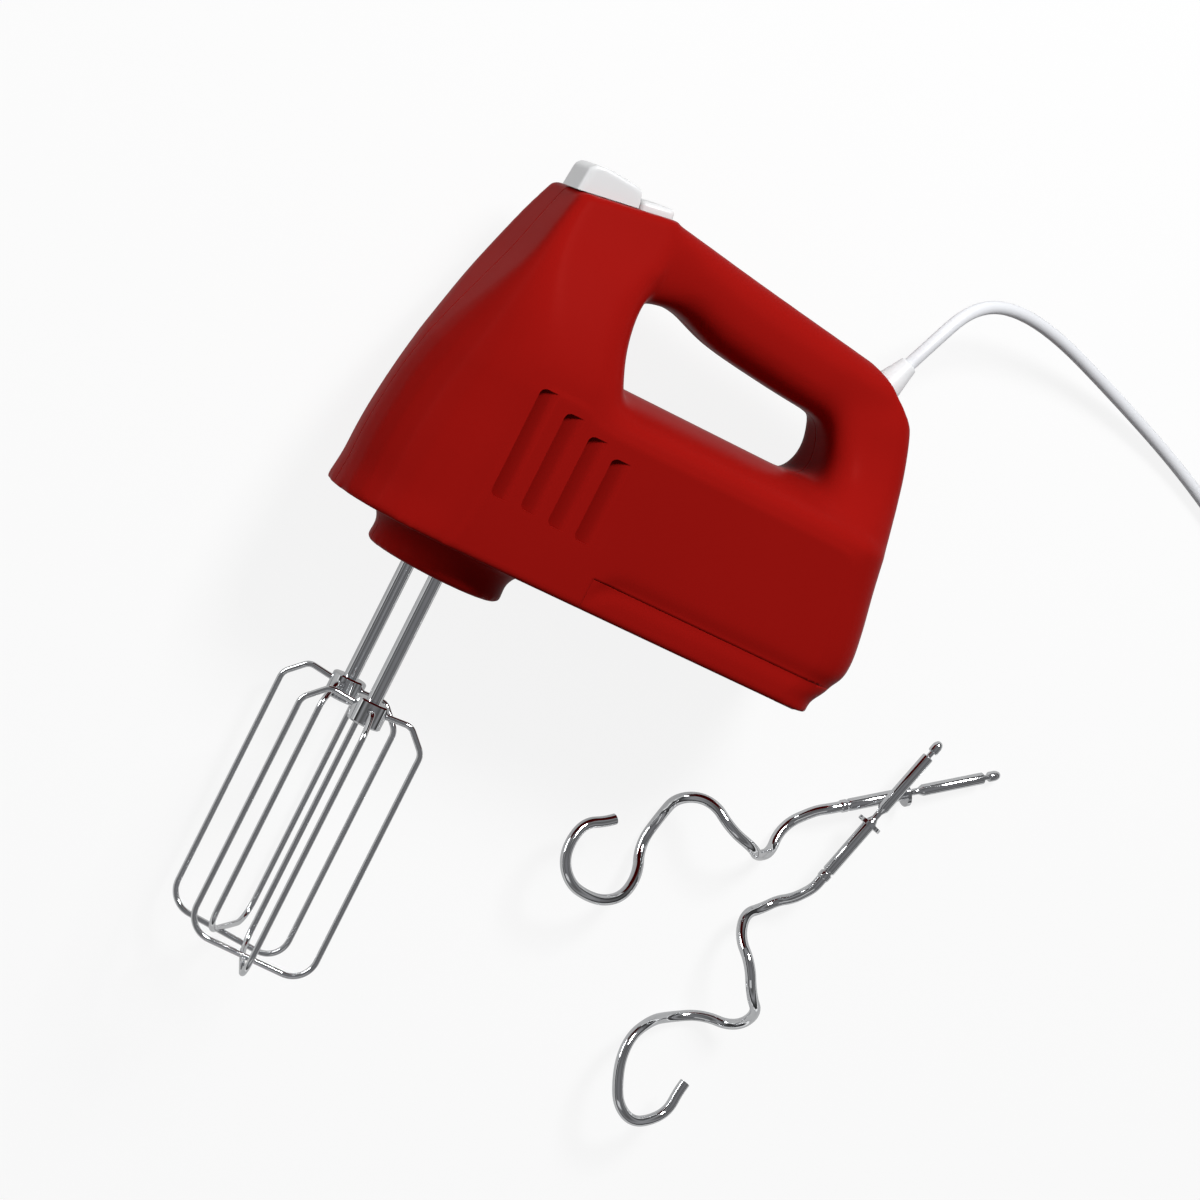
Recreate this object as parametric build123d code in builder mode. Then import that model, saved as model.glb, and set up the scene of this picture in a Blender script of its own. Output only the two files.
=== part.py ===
"""Electric hand mixer lying on its right side, with its two beaters fitted and its dough hooks beside it.

Row frame, millimetres: +X runs from the nose to the heel, +Y from the base to the handle, +Z up from the
table. The origin is on the table, on the flat right-hand side panel, below the motor shaft.
"""

import math
import os

from build123d import *

os.makedirs("parts", exist_ok=True)

# Housing: driving dimensions
NOSE_X = -110.0  # tip of the nose
BASE_Y = -38.0  # underside of the base
HALF_WIDTH = 44.0  # half the width across the flat side panels
MID_Z = HALF_WIDTH  # height of the mid plane above the table
WALL = 2.4  # moulded wall
SIDE_SKIM = 0.1  # taken off the lofted sides to leave true flat panels
SEAM_GAP = 0.1  # half the gap between the two shells
TOP_SLOPE = 9.5  # degrees, rise of the top face towards the handle
TOP_POINT = (NOSE_X + 43.0, BASE_Y + 136.8)  # middle of the top face
GLAND_SLOPE = 22.0  # degrees, corner facet that carries the cord
GLAND_POINT = (NOSE_X + 176.6, BASE_Y + 123.4)
HEEL_SLOPE = 11.7  # degrees, lean of the flat heel face
HEEL_POINT = (NOSE_X + 202.0, BASE_Y + 36.0)
RUN_FIT = 0.05  # radial running clearance of shafts
SEAT_FIT = 0.15  # clearance of seated pieces
PRESS_FIT = 0.02  # radial clearance of pieces fixed on a shaft
BASE_COVER_HEIGHT = 11.0
BASE_GROOVE = 1.2  # shadow gap between base cover and shells

# Drive: driving dimensions
BEATER_X = NOSE_X + 43.0
BEATER_SPACING = 36.0
WORM_STARTS = 2
MODULE = 1.0
WORM_SIZE = 4.5  # pitch radius of the worm
WHEEL_TEETH = round((BEATER_SPACING - 2 * WORM_SIZE) / MODULE)  # fills the space beside the worm
WHEEL_WIDTH = 10.0
SHAFT_RADIUS = 2.8  # beater shaft
SPINDLE_RADIUS = 5.5
SPINDLE_TOP_Y = BASE_Y + 55.0
SPINDLE_BOTTOM_Y = BASE_Y - 11.0
COLLAR_DEPTH = 15.0

EXPORTED = []


def level(y):
    """Plane across the mixer at height y: local x along X, centred on the mid plane."""
    return Plane(origin=(0, y, MID_Z), x_dir=(1, 0, 0), z_dir=(0, 1, 0))


def across(x):
    """Plane square to X at x: local y along Y, centred on the mid plane."""
    return Plane(origin=(x, 0, MID_Z), x_dir=(0, 0, -1), z_dir=(1, 0, 0))


def side_plane(z_from_mid):
    """Plane parallel to the mid plane, with local x and y along X and Y."""
    return Plane.XY.offset(MID_Z + z_from_mid)


def save(node, name):
    """Labels a finished piece and writes its STEP file."""
    shape = node.part if isinstance(node, BuildPart) else node
    shape.label = name
    export_step(shape, f"parts/{name}.step")
    EXPORTED.append(name)


# Level sections of the housing: height above the base, front, rear, drawn in from the half width, and the
# nose and rear corner radii.
LOWER_BODY = [
    (0.0, 3.0, 191.5, 0.0, 37.0, 18.0),
    (4.0, 2.0, 193.5, 0.0, 38.0, 20.0),
    (11.0, 1.0, 196.8, 0.0, 39.0, 22.0),
    (21.0, 0.3, 201.0, 0.0, 40.0, 22.0),
    (34.0, 0.0, 202.2, 0.0, 40.0, 22.0),
    (50.0, 1.2, 199.7, 0.0, 40.0, 22.0),
    (65.0, 3.6, 197.0, 0.0, 38.0, 22.0),
]
SHELF = [
    (64.0, 42.0, 196.8, 0.0, 18.0, 22.0),
    (69.0, 42.0, 195.7, 4.5, 16.0, 20.0),
    (73.5, 42.0, 194.8, 15.0, 14.0, 16.0),
    (76.5, 42.0, 193.8, 30.0, 8.0, 8.0),
]
NOSE_TOWER = [
    (62.0, 3.2, 76.0, 0.0, 38.0, 14.0),
    (74.0, 5.4, 73.0, 1.4, 35.0, 14.0),
    (90.0, 9.2, 69.0, 6.0, 28.0, 13.0),
    (107.0, 14.2, 68.5, 12.5, 20.0, 12.0),
    (122.0, 19.2, 72.5, 19.0, 13.0, 10.0),
    (137.0, 23.5, 72.0, 24.5, 8.0, 8.0),
    (150.0, 28.5, 60.0, 28.5, 7.0, 7.0),
]
REAR_POST = [
    (62.0, 150.0, 197.2, 0.0, 16.0, 22.0),
    (73.0, 160.0, 194.9, 9.0, 14.0, 17.0),
    (85.0, 164.0, 192.4, 18.5, 11.0, 12.5),
    (97.0, 162.0, 189.9, 24.0, 9.0, 10.0),
    (111.0, 156.0, 187.0, 26.5, 8.0, 8.5),
    (124.0, 150.0, 184.3, 29.0, 7.0, 7.0),
]
# Grip sections: distance from the nose, top and underside above the base, half width, corner radius.
GRIP = [
    (60.0, 141.0, 109.0, 16.0, 11.0),
    (82.0, 138.6, 111.5, 17.2, 12.0),
    (104.0, 135.8, 107.0, 17.5, 13.0),
    (130.0, 132.4, 103.6, 17.5, 13.0),
    (154.0, 129.4, 102.2, 17.0, 12.0),
    (182.0, 126.0, 98.5, 15.5, 11.0),
]
# Collar round the beater sockets: height above the base, half length and half width of the oval.
COLLAR_X = NOSE_X + 46.5
COLLAR = [(-COLLAR_DEPTH, 24.5, 30.0), (-6.5, 24.2, 29.7), (-1.5, 27.0, 32.0), (WALL + 0.1, 33.0, 37.0)]


def level_loft(sections, inset, low_inset=0.0, high_inset=0.0):
    """Loft through rounded level sections, drawn in by inset all round and at its two ends."""
    last = len(sections) - 1
    with BuildPart() as loft_part:
        for i, (height, front, rear, drawn_in, nose_radius, rear_radius) in enumerate(sections):
            shift = low_inset if i == 0 else -high_inset if i == last else 0.0
            middle = NOSE_X + (front + rear) / 2
            with BuildSketch(level(BASE_Y + height + shift)) as section:
                with Locations((middle, 0)):
                    Rectangle(rear - front - 2 * inset, 2 * (HALF_WIDTH - drawn_in - inset))
                fillet(section.vertices().group_by(Axis.X)[0], max(nose_radius - inset, 1.0))
                fillet(section.vertices().group_by(Axis.X)[-1], max(rear_radius - inset, 1.0))
        loft()
    return loft_part.part


def grip_loft(inset):
    """Loft of the handle grip through rounded cross sections."""
    with BuildPart() as grip:
        for along, top, under, half_width, radius in GRIP:
            with BuildSketch(across(NOSE_X + along)):
                with Locations((0, BASE_Y + (top + under) / 2)):
                    RectangleRounded(2 * (half_width - inset), top - under - 2 * inset, radius - inset)
        loft()
    return grip.part


def collar_loft(inset, drop):
    """Oval collar that flares into the underside of the nose."""
    with BuildPart() as collar:
        for i, (height, half_length, half_width) in enumerate(COLLAR):
            with BuildSketch(level(BASE_Y + height + (drop if i == 0 else 0.0))):
                with Locations((COLLAR_X, 0)):
                    Ellipse(half_length - inset, half_width - inset)
        loft()
    return collar.part


TOP_PLANE = Plane(
    origin=(*TOP_POINT, MID_Z),
    x_dir=(math.cos(math.radians(TOP_SLOPE)), math.sin(math.radians(TOP_SLOPE)), 0),
    z_dir=(-math.sin(math.radians(TOP_SLOPE)), math.cos(math.radians(TOP_SLOPE)), 0),
)
HEEL_PLANE = Plane(
    origin=(*HEEL_POINT, MID_Z),
    x_dir=(0, 0, 1),
    z_dir=(math.cos(math.radians(HEEL_SLOPE)), math.sin(math.radians(HEEL_SLOPE)), 0),
)
GLAND_PLANE = Plane(
    origin=(*GLAND_POINT, MID_Z),
    x_dir=(math.cos(math.radians(GLAND_SLOPE)), -math.sin(math.radians(GLAND_SLOPE)), 0),
    z_dir=(math.sin(math.radians(GLAND_SLOPE)), math.cos(math.radians(GLAND_SLOPE)), 0),
)
TRIM = 260.0  # larger than the housing


def housing_solid(inset):
    """Whole outer form of the housing, or its cavity when drawn in by the wall."""
    with BuildPart() as body:
        add(level_loft(LOWER_BODY, inset - SIDE_SKIM, low_inset=inset, high_inset=0.0))
        add(level_loft(SHELF, inset, high_inset=inset))
        add(level_loft(NOSE_TOWER, inset))
        add(level_loft(REAR_POST, inset))
        add(grip_loft(inset))
        add(collar_loft(inset, drop=0.0 if inset == 0 else inset))
        for plane in (TOP_PLANE, GLAND_PLANE, HEEL_PLANE, side_plane(HALF_WIDTH), side_plane(-HALF_WIDTH)):
            outward = plane.offset(-inset)
            if plane.origin.Z < 1.0:
                outward = Plane(origin=(0, 0, inset), x_dir=(1, 0, 0), z_dir=(0, 0, -1))
            with BuildSketch(outward):
                Rectangle(TRIM, TRIM)
            extrude(amount=TRIM / 2, mode=Mode.SUBTRACT)
    return body.part


outer = housing_solid(0.0)
cavity = housing_solid(WALL)
print("housing valid", outer.is_valid, cavity.is_valid, "volume", round(outer.volume), round(cavity.volume))


def at_x(distance):
    """X of a point a given distance behind the nose."""
    return NOSE_X + distance


def at_y(height):
    """Y of a point a given height above the base."""
    return BASE_Y + height


# Shells, base cover and their fasteners
LOUVRES = [(37.6, 23.0, 65.5), (50.0, 23.0, 61.5), (62.0, 22.0, 57.8), (73.6, 21.5, 54.2)]
LOUVRE_WIDTH = 8.0
LOUVRE_DEPTH = 3.2
BASE_COVER_START = 88.0
BOSSES = [(24.0, 84.0), (88.0, 123.0), (158.0, 112.0), (190.0, 52.0), (189.0, 22.0)]
BOSS_RADIUS = 4.0
SCREW_RADIUS = 1.5
SCREW_HEAD_RADIUS = 2.8
SCREW_SEAT = 7.0  # distance of the screw heads from the mid plane
SOCKET_HOLE_RADIUS = 6.6
TOP_SLOT = (8.8, 18.6)  # slot under the speed selector, along and across
TOP_SLOT_U = -4.0
EJECT_U = (8.8, 22.6)  # eject button along the top face
EJECT_HALF_WIDTH = 11.0
GLAND_NECK_RADIUS = 4.6

with BuildPart() as shell:
    add(outer)
    add(cavity, mode=Mode.SUBTRACT)
    # Louvres, each deepest at its front edge where it opens into the housing.
    for front, low, high in LOUVRES:
        with BuildSketch(level(at_y(low))):
            for side in (1, -1):
                with BuildLine():
                    Polyline(
                        (at_x(front), side * (HALF_WIDTH + 0.5)),
                        (at_x(front), side * (HALF_WIDTH - LOUVRE_DEPTH)),
                        (at_x(front + 0.8), side * (HALF_WIDTH - LOUVRE_DEPTH)),
                        (at_x(front + LOUVRE_WIDTH), side * (HALF_WIDTH + 0.5)),
                        close=True,
                    )
                make_face()
        extrude(amount=high - low, mode=Mode.SUBTRACT)
    # Sockets for the beaters in the collar.
    with BuildSketch(level(at_y(-COLLAR_DEPTH - 1))):
        with Locations((BEATER_X, BEATER_SPACING / 2), (BEATER_X, -BEATER_SPACING / 2)):
            Circle(SOCKET_HOLE_RADIUS)
    extrude(amount=WALL + 4, mode=Mode.SUBTRACT)
    # Openings in the top face for the selector and the eject button.
    with BuildSketch(TOP_PLANE.offset(1)):
        with Locations((TOP_SLOT_U, 0)):
            Rectangle(*TOP_SLOT)
        with Locations(((EJECT_U[0] + EJECT_U[1]) / 2, 0)):
            Rectangle(EJECT_U[1] - EJECT_U[0] + 0.7, 2 * EJECT_HALF_WIDTH + 0.7)
    extrude(amount=-WALL - 2, mode=Mode.SUBTRACT)
    # Hole for the neck of the strain relief.
    with BuildSketch(GLAND_PLANE.offset(2)):
        Circle(GLAND_NECK_RADIUS + SEAT_FIT)
    extrude(amount=-WALL - 5, mode=Mode.SUBTRACT)

with BuildPart() as cover_space:
    with BuildSketch(level(at_y(-30))):
        with Locations((at_x(BASE_COVER_START), 0)):
            Rectangle(TRIM, TRIM, align=(Align.MIN, Align.CENTER))
    extrude(amount=30 + BASE_COVER_HEIGHT)

with BuildPart() as cover_cut:
    with BuildSketch(level(at_y(-30))):
        with Locations((at_x(BASE_COVER_START) - BASE_GROOVE, 0)):
            Rectangle(TRIM, TRIM, align=(Align.MIN, Align.CENTER))
    extrude(amount=30 + BASE_COVER_HEIGHT + BASE_GROOVE)

# Base cover: a tray with an inner rim that stands behind the shells' lower edge, and a rear foot.
RIM_HEIGHT = 5.0
RIM_GAP = 0.3
with BuildPart() as base_cover:
    add(shell.part)
    add(cover_space.part, mode=Mode.INTERSECT)
    with BuildSketch(level(at_y(BASE_COVER_HEIGHT - 2.0))):
        with Locations((at_x(BASE_COVER_START + 6), HALF_WIDTH - WALL - 1.2 - RIM_GAP),
                       (at_x(BASE_COVER_START + 6), -(HALF_WIDTH - WALL - 1.2 - RIM_GAP))):
            Rectangle(80, 2.0, align=(Align.MIN, Align.CENTER))
    extrude(amount=2.0 + RIM_HEIGHT)
    with BuildSketch(level(at_y(BASE_COVER_HEIGHT - 6.0))):
        with Locations((at_x(BASE_COVER_START + 6), HALF_WIDTH - WALL - 1.0),
                       (at_x(BASE_COVER_START + 6), -(HALF_WIDTH - WALL - 1.0))):
            Rectangle(80, 3.0, align=(Align.MIN, Align.CENTER))
    extrude(amount=4.0)
    with BuildSketch(level(at_y(-1.6))):
        with Locations((at_x(184.0), 26.0), (at_x(184.0), -26.0)):
            RectangleRounded(10, 14, 3)
    extrude(amount=2.0)


def housing_half(side):
    """One moulded shell with its screw bosses; side is +1 for the upper, left-hand shell."""
    with BuildPart() as half:
        add(shell.part)
        add(cover_cut.part, mode=Mode.SUBTRACT)
        with BuildPart(mode=Mode.PRIVATE) as bosses:
            with BuildSketch(side_plane(0)):
                with Locations(*[(at_x(x), at_y(h)) for x, h in BOSSES]):
                    Circle(BOSS_RADIUS)
            extrude(amount=side * HALF_WIDTH)
            add(outer, mode=Mode.INTERSECT)
        add(bosses.part)
        with BuildSketch(side_plane(side * SEAM_GAP)):
            Rectangle(4 * TRIM, 4 * TRIM)
        extrude(amount=-side * TRIM, mode=Mode.SUBTRACT)
        if side > 0:
            with BuildSketch(side_plane(0)):
                with Locations(*[(at_x(x), at_y(h)) for x, h in BOSSES]):
                    Circle(SCREW_RADIUS + 0.02)
            extrude(amount=9.0, mode=Mode.SUBTRACT)
        else:
            with BuildSketch(side_plane(0)):
                with Locations(*[(at_x(x), at_y(h)) for x, h in BOSSES]):
                    Circle(SCREW_RADIUS + 0.2)
            extrude(amount=-HALF_WIDTH - 1, mode=Mode.SUBTRACT)
            with BuildSketch(side_plane(-SCREW_SEAT)):
                with Locations(*[(at_x(x), at_y(h)) for x, h in BOSSES]):
                    Circle(SCREW_HEAD_RADIUS + 0.2)
            extrude(amount=-HALF_WIDTH, mode=Mode.SUBTRACT)
    return half.part


housing_left = housing_half(1)
housing_right = housing_half(-1)

with BuildPart() as housing_screws:
    with BuildSketch(side_plane(-SCREW_SEAT - 0.05)):
        with Locations(*[(at_x(x), at_y(h)) for x, h in BOSSES]):
            Circle(SCREW_HEAD_RADIUS)
    extrude(amount=-2.2)
    with BuildSketch(side_plane(-SCREW_SEAT - 0.05)):
        with Locations(*[(at_x(x), at_y(h)) for x, h in BOSSES]):
            Circle(SCREW_RADIUS)
    extrude(amount=SCREW_SEAT + 8.5)
    with BuildSketch(side_plane(-SCREW_SEAT - 2.25)):
        with Locations(*[(at_x(x), at_y(h)) for x, h in BOSSES]):
            Rectangle(2.6, 0.7)
            Rectangle(0.7, 2.6)
    extrude(amount=1.2, mode=Mode.SUBTRACT)

shells = (housing_left, housing_right, base_cover.part, housing_screws.part)
print("shells", [len(shape.solids()) for shape in shells])
save(housing_left, "housing_left")
save(housing_right, "housing_right")
save(base_cover, "base_cover")
save(housing_screws, "housing_screws")

# Gearbox frame: an open box whose plates carry the spindles, the motor shaft and the motor bolts
FRAME_FRONT, FRAME_REAR = 21.0, 82.0
FRAME_LOW, FRAME_HIGH = WALL + 0.2, 48.0
FRAME_PLATE = 4.0
FRAME_HALF_WIDTH = 33.0
BUSH_RADIUS = 7.6
MOTOR_HEIGHT = -BASE_Y  # motor shaft above the base
BOLT_OFFSET = 23.5
BOLT_RADIUS = 1.6
MOTOR_SHAFT_RADIUS = 3.0
SHAFT_BUSH_RADIUS = 5.0
BEATER_PLACES = [(BEATER_X, BEATER_SPACING / 2), (BEATER_X, -BEATER_SPACING / 2)]
BOLT_PLACES = [(sz * BOLT_OFFSET, sy * BOLT_OFFSET) for sz in (1, -1) for sy in (1, -1)]

with BuildPart() as gearbox_frame:
    for low in (FRAME_LOW, FRAME_HIGH):
        with BuildSketch(level(at_y(low))):
            with Locations((at_x(FRAME_FRONT), 0)):
                frame_length = FRAME_REAR - FRAME_FRONT + FRAME_PLATE
                Rectangle(frame_length, 2 * FRAME_HALF_WIDTH, align=(Align.MIN, Align.CENTER))
        extrude(amount=FRAME_PLATE)
    with BuildSketch(across(at_x(FRAME_FRONT))):
        with Locations((0, at_y((FRAME_LOW + FRAME_HIGH + FRAME_PLATE) / 2))):
            Rectangle(2 * FRAME_HALF_WIDTH, FRAME_HIGH + FRAME_PLATE - FRAME_LOW)
    extrude(amount=FRAME_PLATE)
    with BuildSketch(across(at_x(FRAME_REAR))):
        with Locations((0, at_y((8 + 66) / 2))):
            RectangleRounded(2 * 28.0, 58, 4)
    extrude(amount=FRAME_PLATE)
    with BuildSketch(across(at_x(FRAME_FRONT) - 1)):
        Circle(SHAFT_BUSH_RADIUS + SEAT_FIT)
    extrude(amount=FRAME_REAR - FRAME_FRONT + 10, mode=Mode.SUBTRACT)
    with BuildSketch(across(at_x(FRAME_REAR) - 1)):
        with Locations(*BOLT_PLACES):
            Circle(BOLT_RADIUS + SEAT_FIT)
    extrude(amount=FRAME_PLATE + 2, mode=Mode.SUBTRACT)
    with BuildSketch(level(at_y(FRAME_LOW - 1))):
        with Locations(*BEATER_PLACES):
            Circle(BUSH_RADIUS + SEAT_FIT)
    extrude(amount=FRAME_HIGH + FRAME_PLATE, mode=Mode.SUBTRACT)
save(gearbox_frame, "gearbox_frame")

with BuildPart() as spindle_bushes:
    for low, high in ((FRAME_LOW, FRAME_LOW + FRAME_PLATE), (FRAME_HIGH, FRAME_HIGH + FRAME_PLATE)):
        with BuildSketch(level(at_y(low))):
            with Locations(*BEATER_PLACES):
                Circle(BUSH_RADIUS)
        extrude(amount=high - low)
        with BuildSketch(level(at_y(high) if low < 20 else at_y(low) - 1.2)):
            with Locations(*BEATER_PLACES):
                Circle(BUSH_RADIUS + 1.4)
        extrude(amount=1.2)
    with BuildSketch(level(at_y(FRAME_LOW - 1))):
        with Locations(*BEATER_PLACES):
            Circle(SPINDLE_RADIUS + RUN_FIT)
    extrude(amount=FRAME_HIGH + FRAME_PLATE + 4, mode=Mode.SUBTRACT)
save(spindle_bushes, "spindle_bushes")

# Motor: stator, field coils, bracket, bolts, bushes and brush gear, all fixed to the frame
STATOR_START, STATOR_LENGTH = 112.0, 24.0
STATOR_SIZE = 54.0
ROTOR_RADIUS = 14.0
AIR_GAP = 0.6
BRACKET_START = 151.0
COIL_LOW, COIL_HIGH = 13.0, 21.0  # field coil above and below the shaft
COIL_INNER, COIL_OUTER = 15.0, 19.4  # half widths of the coil ring
COIL_OVERHANG = 8.0

with BuildPart() as stator_core:
    with BuildSketch(across(at_x(STATOR_START))):
        RectangleRounded(STATOR_SIZE, STATOR_SIZE, 5)
        Circle(ROTOR_RADIUS + AIR_GAP, mode=Mode.SUBTRACT)
        with Locations(*BOLT_PLACES):
            Circle(BOLT_RADIUS + SEAT_FIT, mode=Mode.SUBTRACT)
        with Locations(*[(sz * (COIL_INNER + COIL_OUTER) / 2, sy * (COIL_LOW + COIL_HIGH) / 2)
                         for sz in (1, -1) for sy in (1, -1)]):
            Rectangle(COIL_OUTER - COIL_INNER + 0.6, COIL_HIGH - COIL_LOW + 0.6, mode=Mode.SUBTRACT)
    extrude(amount=STATOR_LENGTH)
save(stator_core, "stator_core")

with BuildPart() as field_coils:
    for low in (COIL_LOW, -COIL_HIGH):
        with BuildSketch(level(low)):
            with Locations((at_x(STATOR_START + STATOR_LENGTH / 2), 0)):
                RectangleRounded(STATOR_LENGTH + 2 * COIL_OVERHANG, 2 * COIL_OUTER, 5)
                RectangleRounded(STATOR_LENGTH + 1.0, 2 * COIL_INNER, 1, mode=Mode.SUBTRACT)
        extrude(amount=COIL_HIGH - COIL_LOW)
save(field_coils, "field_coils")

with BuildPart() as motor_bracket:
    with BuildSketch(across(at_x(BRACKET_START))):
        RectangleRounded(STATOR_SIZE, STATOR_SIZE, 5)
        Circle(SHAFT_BUSH_RADIUS + SEAT_FIT, mode=Mode.SUBTRACT)
        with Locations(*BOLT_PLACES):
            Circle(BOLT_RADIUS + SEAT_FIT, mode=Mode.SUBTRACT)
        with Locations((0, 17), (0, -17)):
            SlotOverall(26, 9, mode=Mode.SUBTRACT)
    extrude(amount=3.0)
save(motor_bracket, "motor_bracket")

BOLT_END = BRACKET_START + 3.0
with BuildPart() as motor_bolts:
    with BuildSketch(across(at_x(FRAME_REAR - 2))):
        with Locations(*BOLT_PLACES):
            Circle(BOLT_RADIUS)
    extrude(amount=BOLT_END - FRAME_REAR + 2.1)
    with BuildSketch(across(at_x(BOLT_END + 0.1))):
        with Locations(*BOLT_PLACES):
            RegularPolygon(3.0, 6)
    extrude(amount=2.4)
save(motor_bolts, "motor_bolts")

with BuildPart() as shaft_bushes:
    for start, length in ((FRAME_FRONT, FRAME_PLATE), (FRAME_REAR, FRAME_PLATE), (BRACKET_START, 3.0)):
        with BuildSketch(across(at_x(start))):
            Circle(SHAFT_BUSH_RADIUS)
            Circle(MOTOR_SHAFT_RADIUS + RUN_FIT, mode=Mode.SUBTRACT)
        extrude(amount=length)
save(shaft_bushes, "shaft_bushes")

COMMUTATOR_START, COMMUTATOR_LENGTH = 139.5, 9.5
COMMUTATOR_RADIUS = 9.0
BRUSH = (4.6, 6.0)  # along the shaft, and up
with BuildPart() as brush_holders:
    for side in (1, -1):
        with BuildSketch(side_plane(side * (COMMUTATOR_RADIUS + 1.2))):
            with Locations((at_x(COMMUTATOR_START + 5.0), 0)):
                Rectangle(BRUSH[0] + 2.4, BRUSH[1] + 2.4)
            with Locations((at_x(COMMUTATOR_START + 5.0), 0)):
                Rectangle(BRUSH[0] + 0.2, BRUSH[1] + 0.2, mode=Mode.SUBTRACT)
        extrude(amount=side * 13.0)
        with BuildSketch(side_plane(side * (COMMUTATOR_RADIUS + 1.2))):
            with Locations((at_x(COMMUTATOR_START + 5.0) + BRUSH[0] / 2 + 1.2, 0)):
                arm_length = BRACKET_START - COMMUTATOR_START - 6.3 - BRUSH[0] / 2
                Rectangle(arm_length, 6, align=(Align.MIN, Align.CENTER))
        extrude(amount=side * 5.0)
save(brush_holders, "brush_holders")

with BuildPart() as carbon_brushes:
    for side in (1, -1):
        with BuildSketch(side_plane(side * (COMMUTATOR_RADIUS + 0.1))):
            with Locations((at_x(COMMUTATOR_START + 5.0), 0)):
                Rectangle(*BRUSH)
        extrude(amount=side * 10.0)
save(carbon_brushes, "carbon_brushes")

# Armature: shaft with its two-start worm, core, windings, commutator and fan
AXIAL_PITCH = math.pi * MODULE
WORM_LEAD = AXIAL_PITCH * WORM_STARTS
WHEEL_PITCH_RADIUS = WHEEL_TEETH * MODULE / 2
WORM_PITCH_RADIUS = BEATER_SPACING / 2 - WHEEL_PITCH_RADIUS
BACKLASH = 0.34
ADDENDUM = 0.85 * MODULE
WORM_ROOT_RADIUS = WORM_PITCH_RADIUS - 1.25 * MODULE
FLANK = math.tan(math.radians(20))
HALF_TOOTH = (AXIAL_PITCH / 2 - BACKLASH) / 2
WORM_LENGTH = 9 * AXIAL_PITCH

with BuildPart() as motor_shaft:
    with BuildSketch(across(at_x(FRAME_FRONT - 2))):
        Circle(MOTOR_SHAFT_RADIUS)
    extrude(amount=BRACKET_START + 5 - FRAME_FRONT)
    worm_start = BEATER_X - WORM_LENGTH / 2
    with BuildSketch(across(worm_start - 1.5)):
        Circle(WORM_ROOT_RADIUS)
    extrude(amount=WORM_LENGTH + 3.0)
    for start in range(WORM_STARTS):
        with BuildLine() as thread:
            Helix(
                pitch=WORM_LEAD,
                height=WORM_LENGTH - start * AXIAL_PITCH,
                radius=WORM_PITCH_RADIUS,
                center=(worm_start + start * AXIAL_PITCH, 0, MID_Z),
                direction=(1, 0, 0),
            )
        with BuildSketch(Plane(origin=thread.line @ 0, x_dir=(0, 0, 1), z_dir=thread.line % 0)):
            with BuildLine():
                depth = WORM_PITCH_RADIUS - WORM_ROOT_RADIUS + 0.2
                Polyline(
                    (-depth, HALF_TOOTH + depth * FLANK),
                    (ADDENDUM, HALF_TOOTH - ADDENDUM * FLANK),
                    (ADDENDUM, -HALF_TOOTH + ADDENDUM * FLANK),
                    (-depth, -HALF_TOOTH - depth * FLANK),
                    close=True,
                )
            make_face()
        sweep(path=thread.line, is_frenet=True)
print("worm valid", motor_shaft.part.is_valid, len(motor_shaft.part.solids()))
save(motor_shaft, "motor_shaft")

with BuildPart() as armature_core:
    with BuildSketch(across(at_x(STATOR_START))):
        Circle(ROTOR_RADIUS)
        Circle(MOTOR_SHAFT_RADIUS + PRESS_FIT, mode=Mode.SUBTRACT)
        with PolarLocations(ROTOR_RADIUS - 3.0, 12):
            Rectangle(7.0, 2.6, mode=Mode.SUBTRACT)
    extrude(amount=STATOR_LENGTH)
save(armature_core, "armature_core")

with BuildPart() as armature_windings:
    with BuildSketch(across(at_x(STATOR_START - 5.0))):
        Circle(ROTOR_RADIUS - 1.5)
        Circle(MOTOR_SHAFT_RADIUS + PRESS_FIT, mode=Mode.SUBTRACT)
    extrude(amount=5.0)
    with BuildSketch(across(at_x(STATOR_START + STATOR_LENGTH))):
        Circle(ROTOR_RADIUS - 1.5)
        Circle(MOTOR_SHAFT_RADIUS + PRESS_FIT, mode=Mode.SUBTRACT)
    extrude(amount=COMMUTATOR_START - STATOR_START - STATOR_LENGTH)
    with BuildSketch(across(at_x(STATOR_START))):
        with PolarLocations(ROTOR_RADIUS - 4.0, 12):
            Rectangle(4.9, 2.5)
    extrude(amount=STATOR_LENGTH)
save(armature_windings, "armature_windings")

with BuildPart() as commutator:
    with BuildSketch(across(at_x(COMMUTATOR_START))):
        Circle(COMMUTATOR_RADIUS)
        Circle(MOTOR_SHAFT_RADIUS + PRESS_FIT, mode=Mode.SUBTRACT)
        with PolarLocations(COMMUTATOR_RADIUS, 24):
            Rectangle(1.6, 0.4, mode=Mode.SUBTRACT)
    extrude(amount=COMMUTATOR_LENGTH)
save(commutator, "commutator")

FAN_START, FAN_WIDTH, FAN_RADIUS = 92.0, 9.0, 21.5
with BuildPart() as cooling_fan:
    with BuildSketch(across(at_x(FAN_START))):
        Circle(FAN_RADIUS)
        Circle(MOTOR_SHAFT_RADIUS + PRESS_FIT, mode=Mode.SUBTRACT)
    extrude(amount=1.4)
    with BuildSketch(across(at_x(FAN_START))):
        Circle(6.0)
        Circle(MOTOR_SHAFT_RADIUS + PRESS_FIT, mode=Mode.SUBTRACT)
    extrude(amount=FAN_WIDTH)
    with BuildSketch(across(at_x(FAN_START))):
        with PolarLocations(13.4, 9):
            Rectangle(16.0, 1.2, rotation=18)
    extrude(amount=FAN_WIDTH)
save(cooling_fan, "cooling_fan")

# Drive gears: a worm wheel on a hollow spindle for each beater
EAR = (9.0, 1.8, 6.0)  # beater drive ears: across, thick, high
EAR_LOW = -10.0


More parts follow.
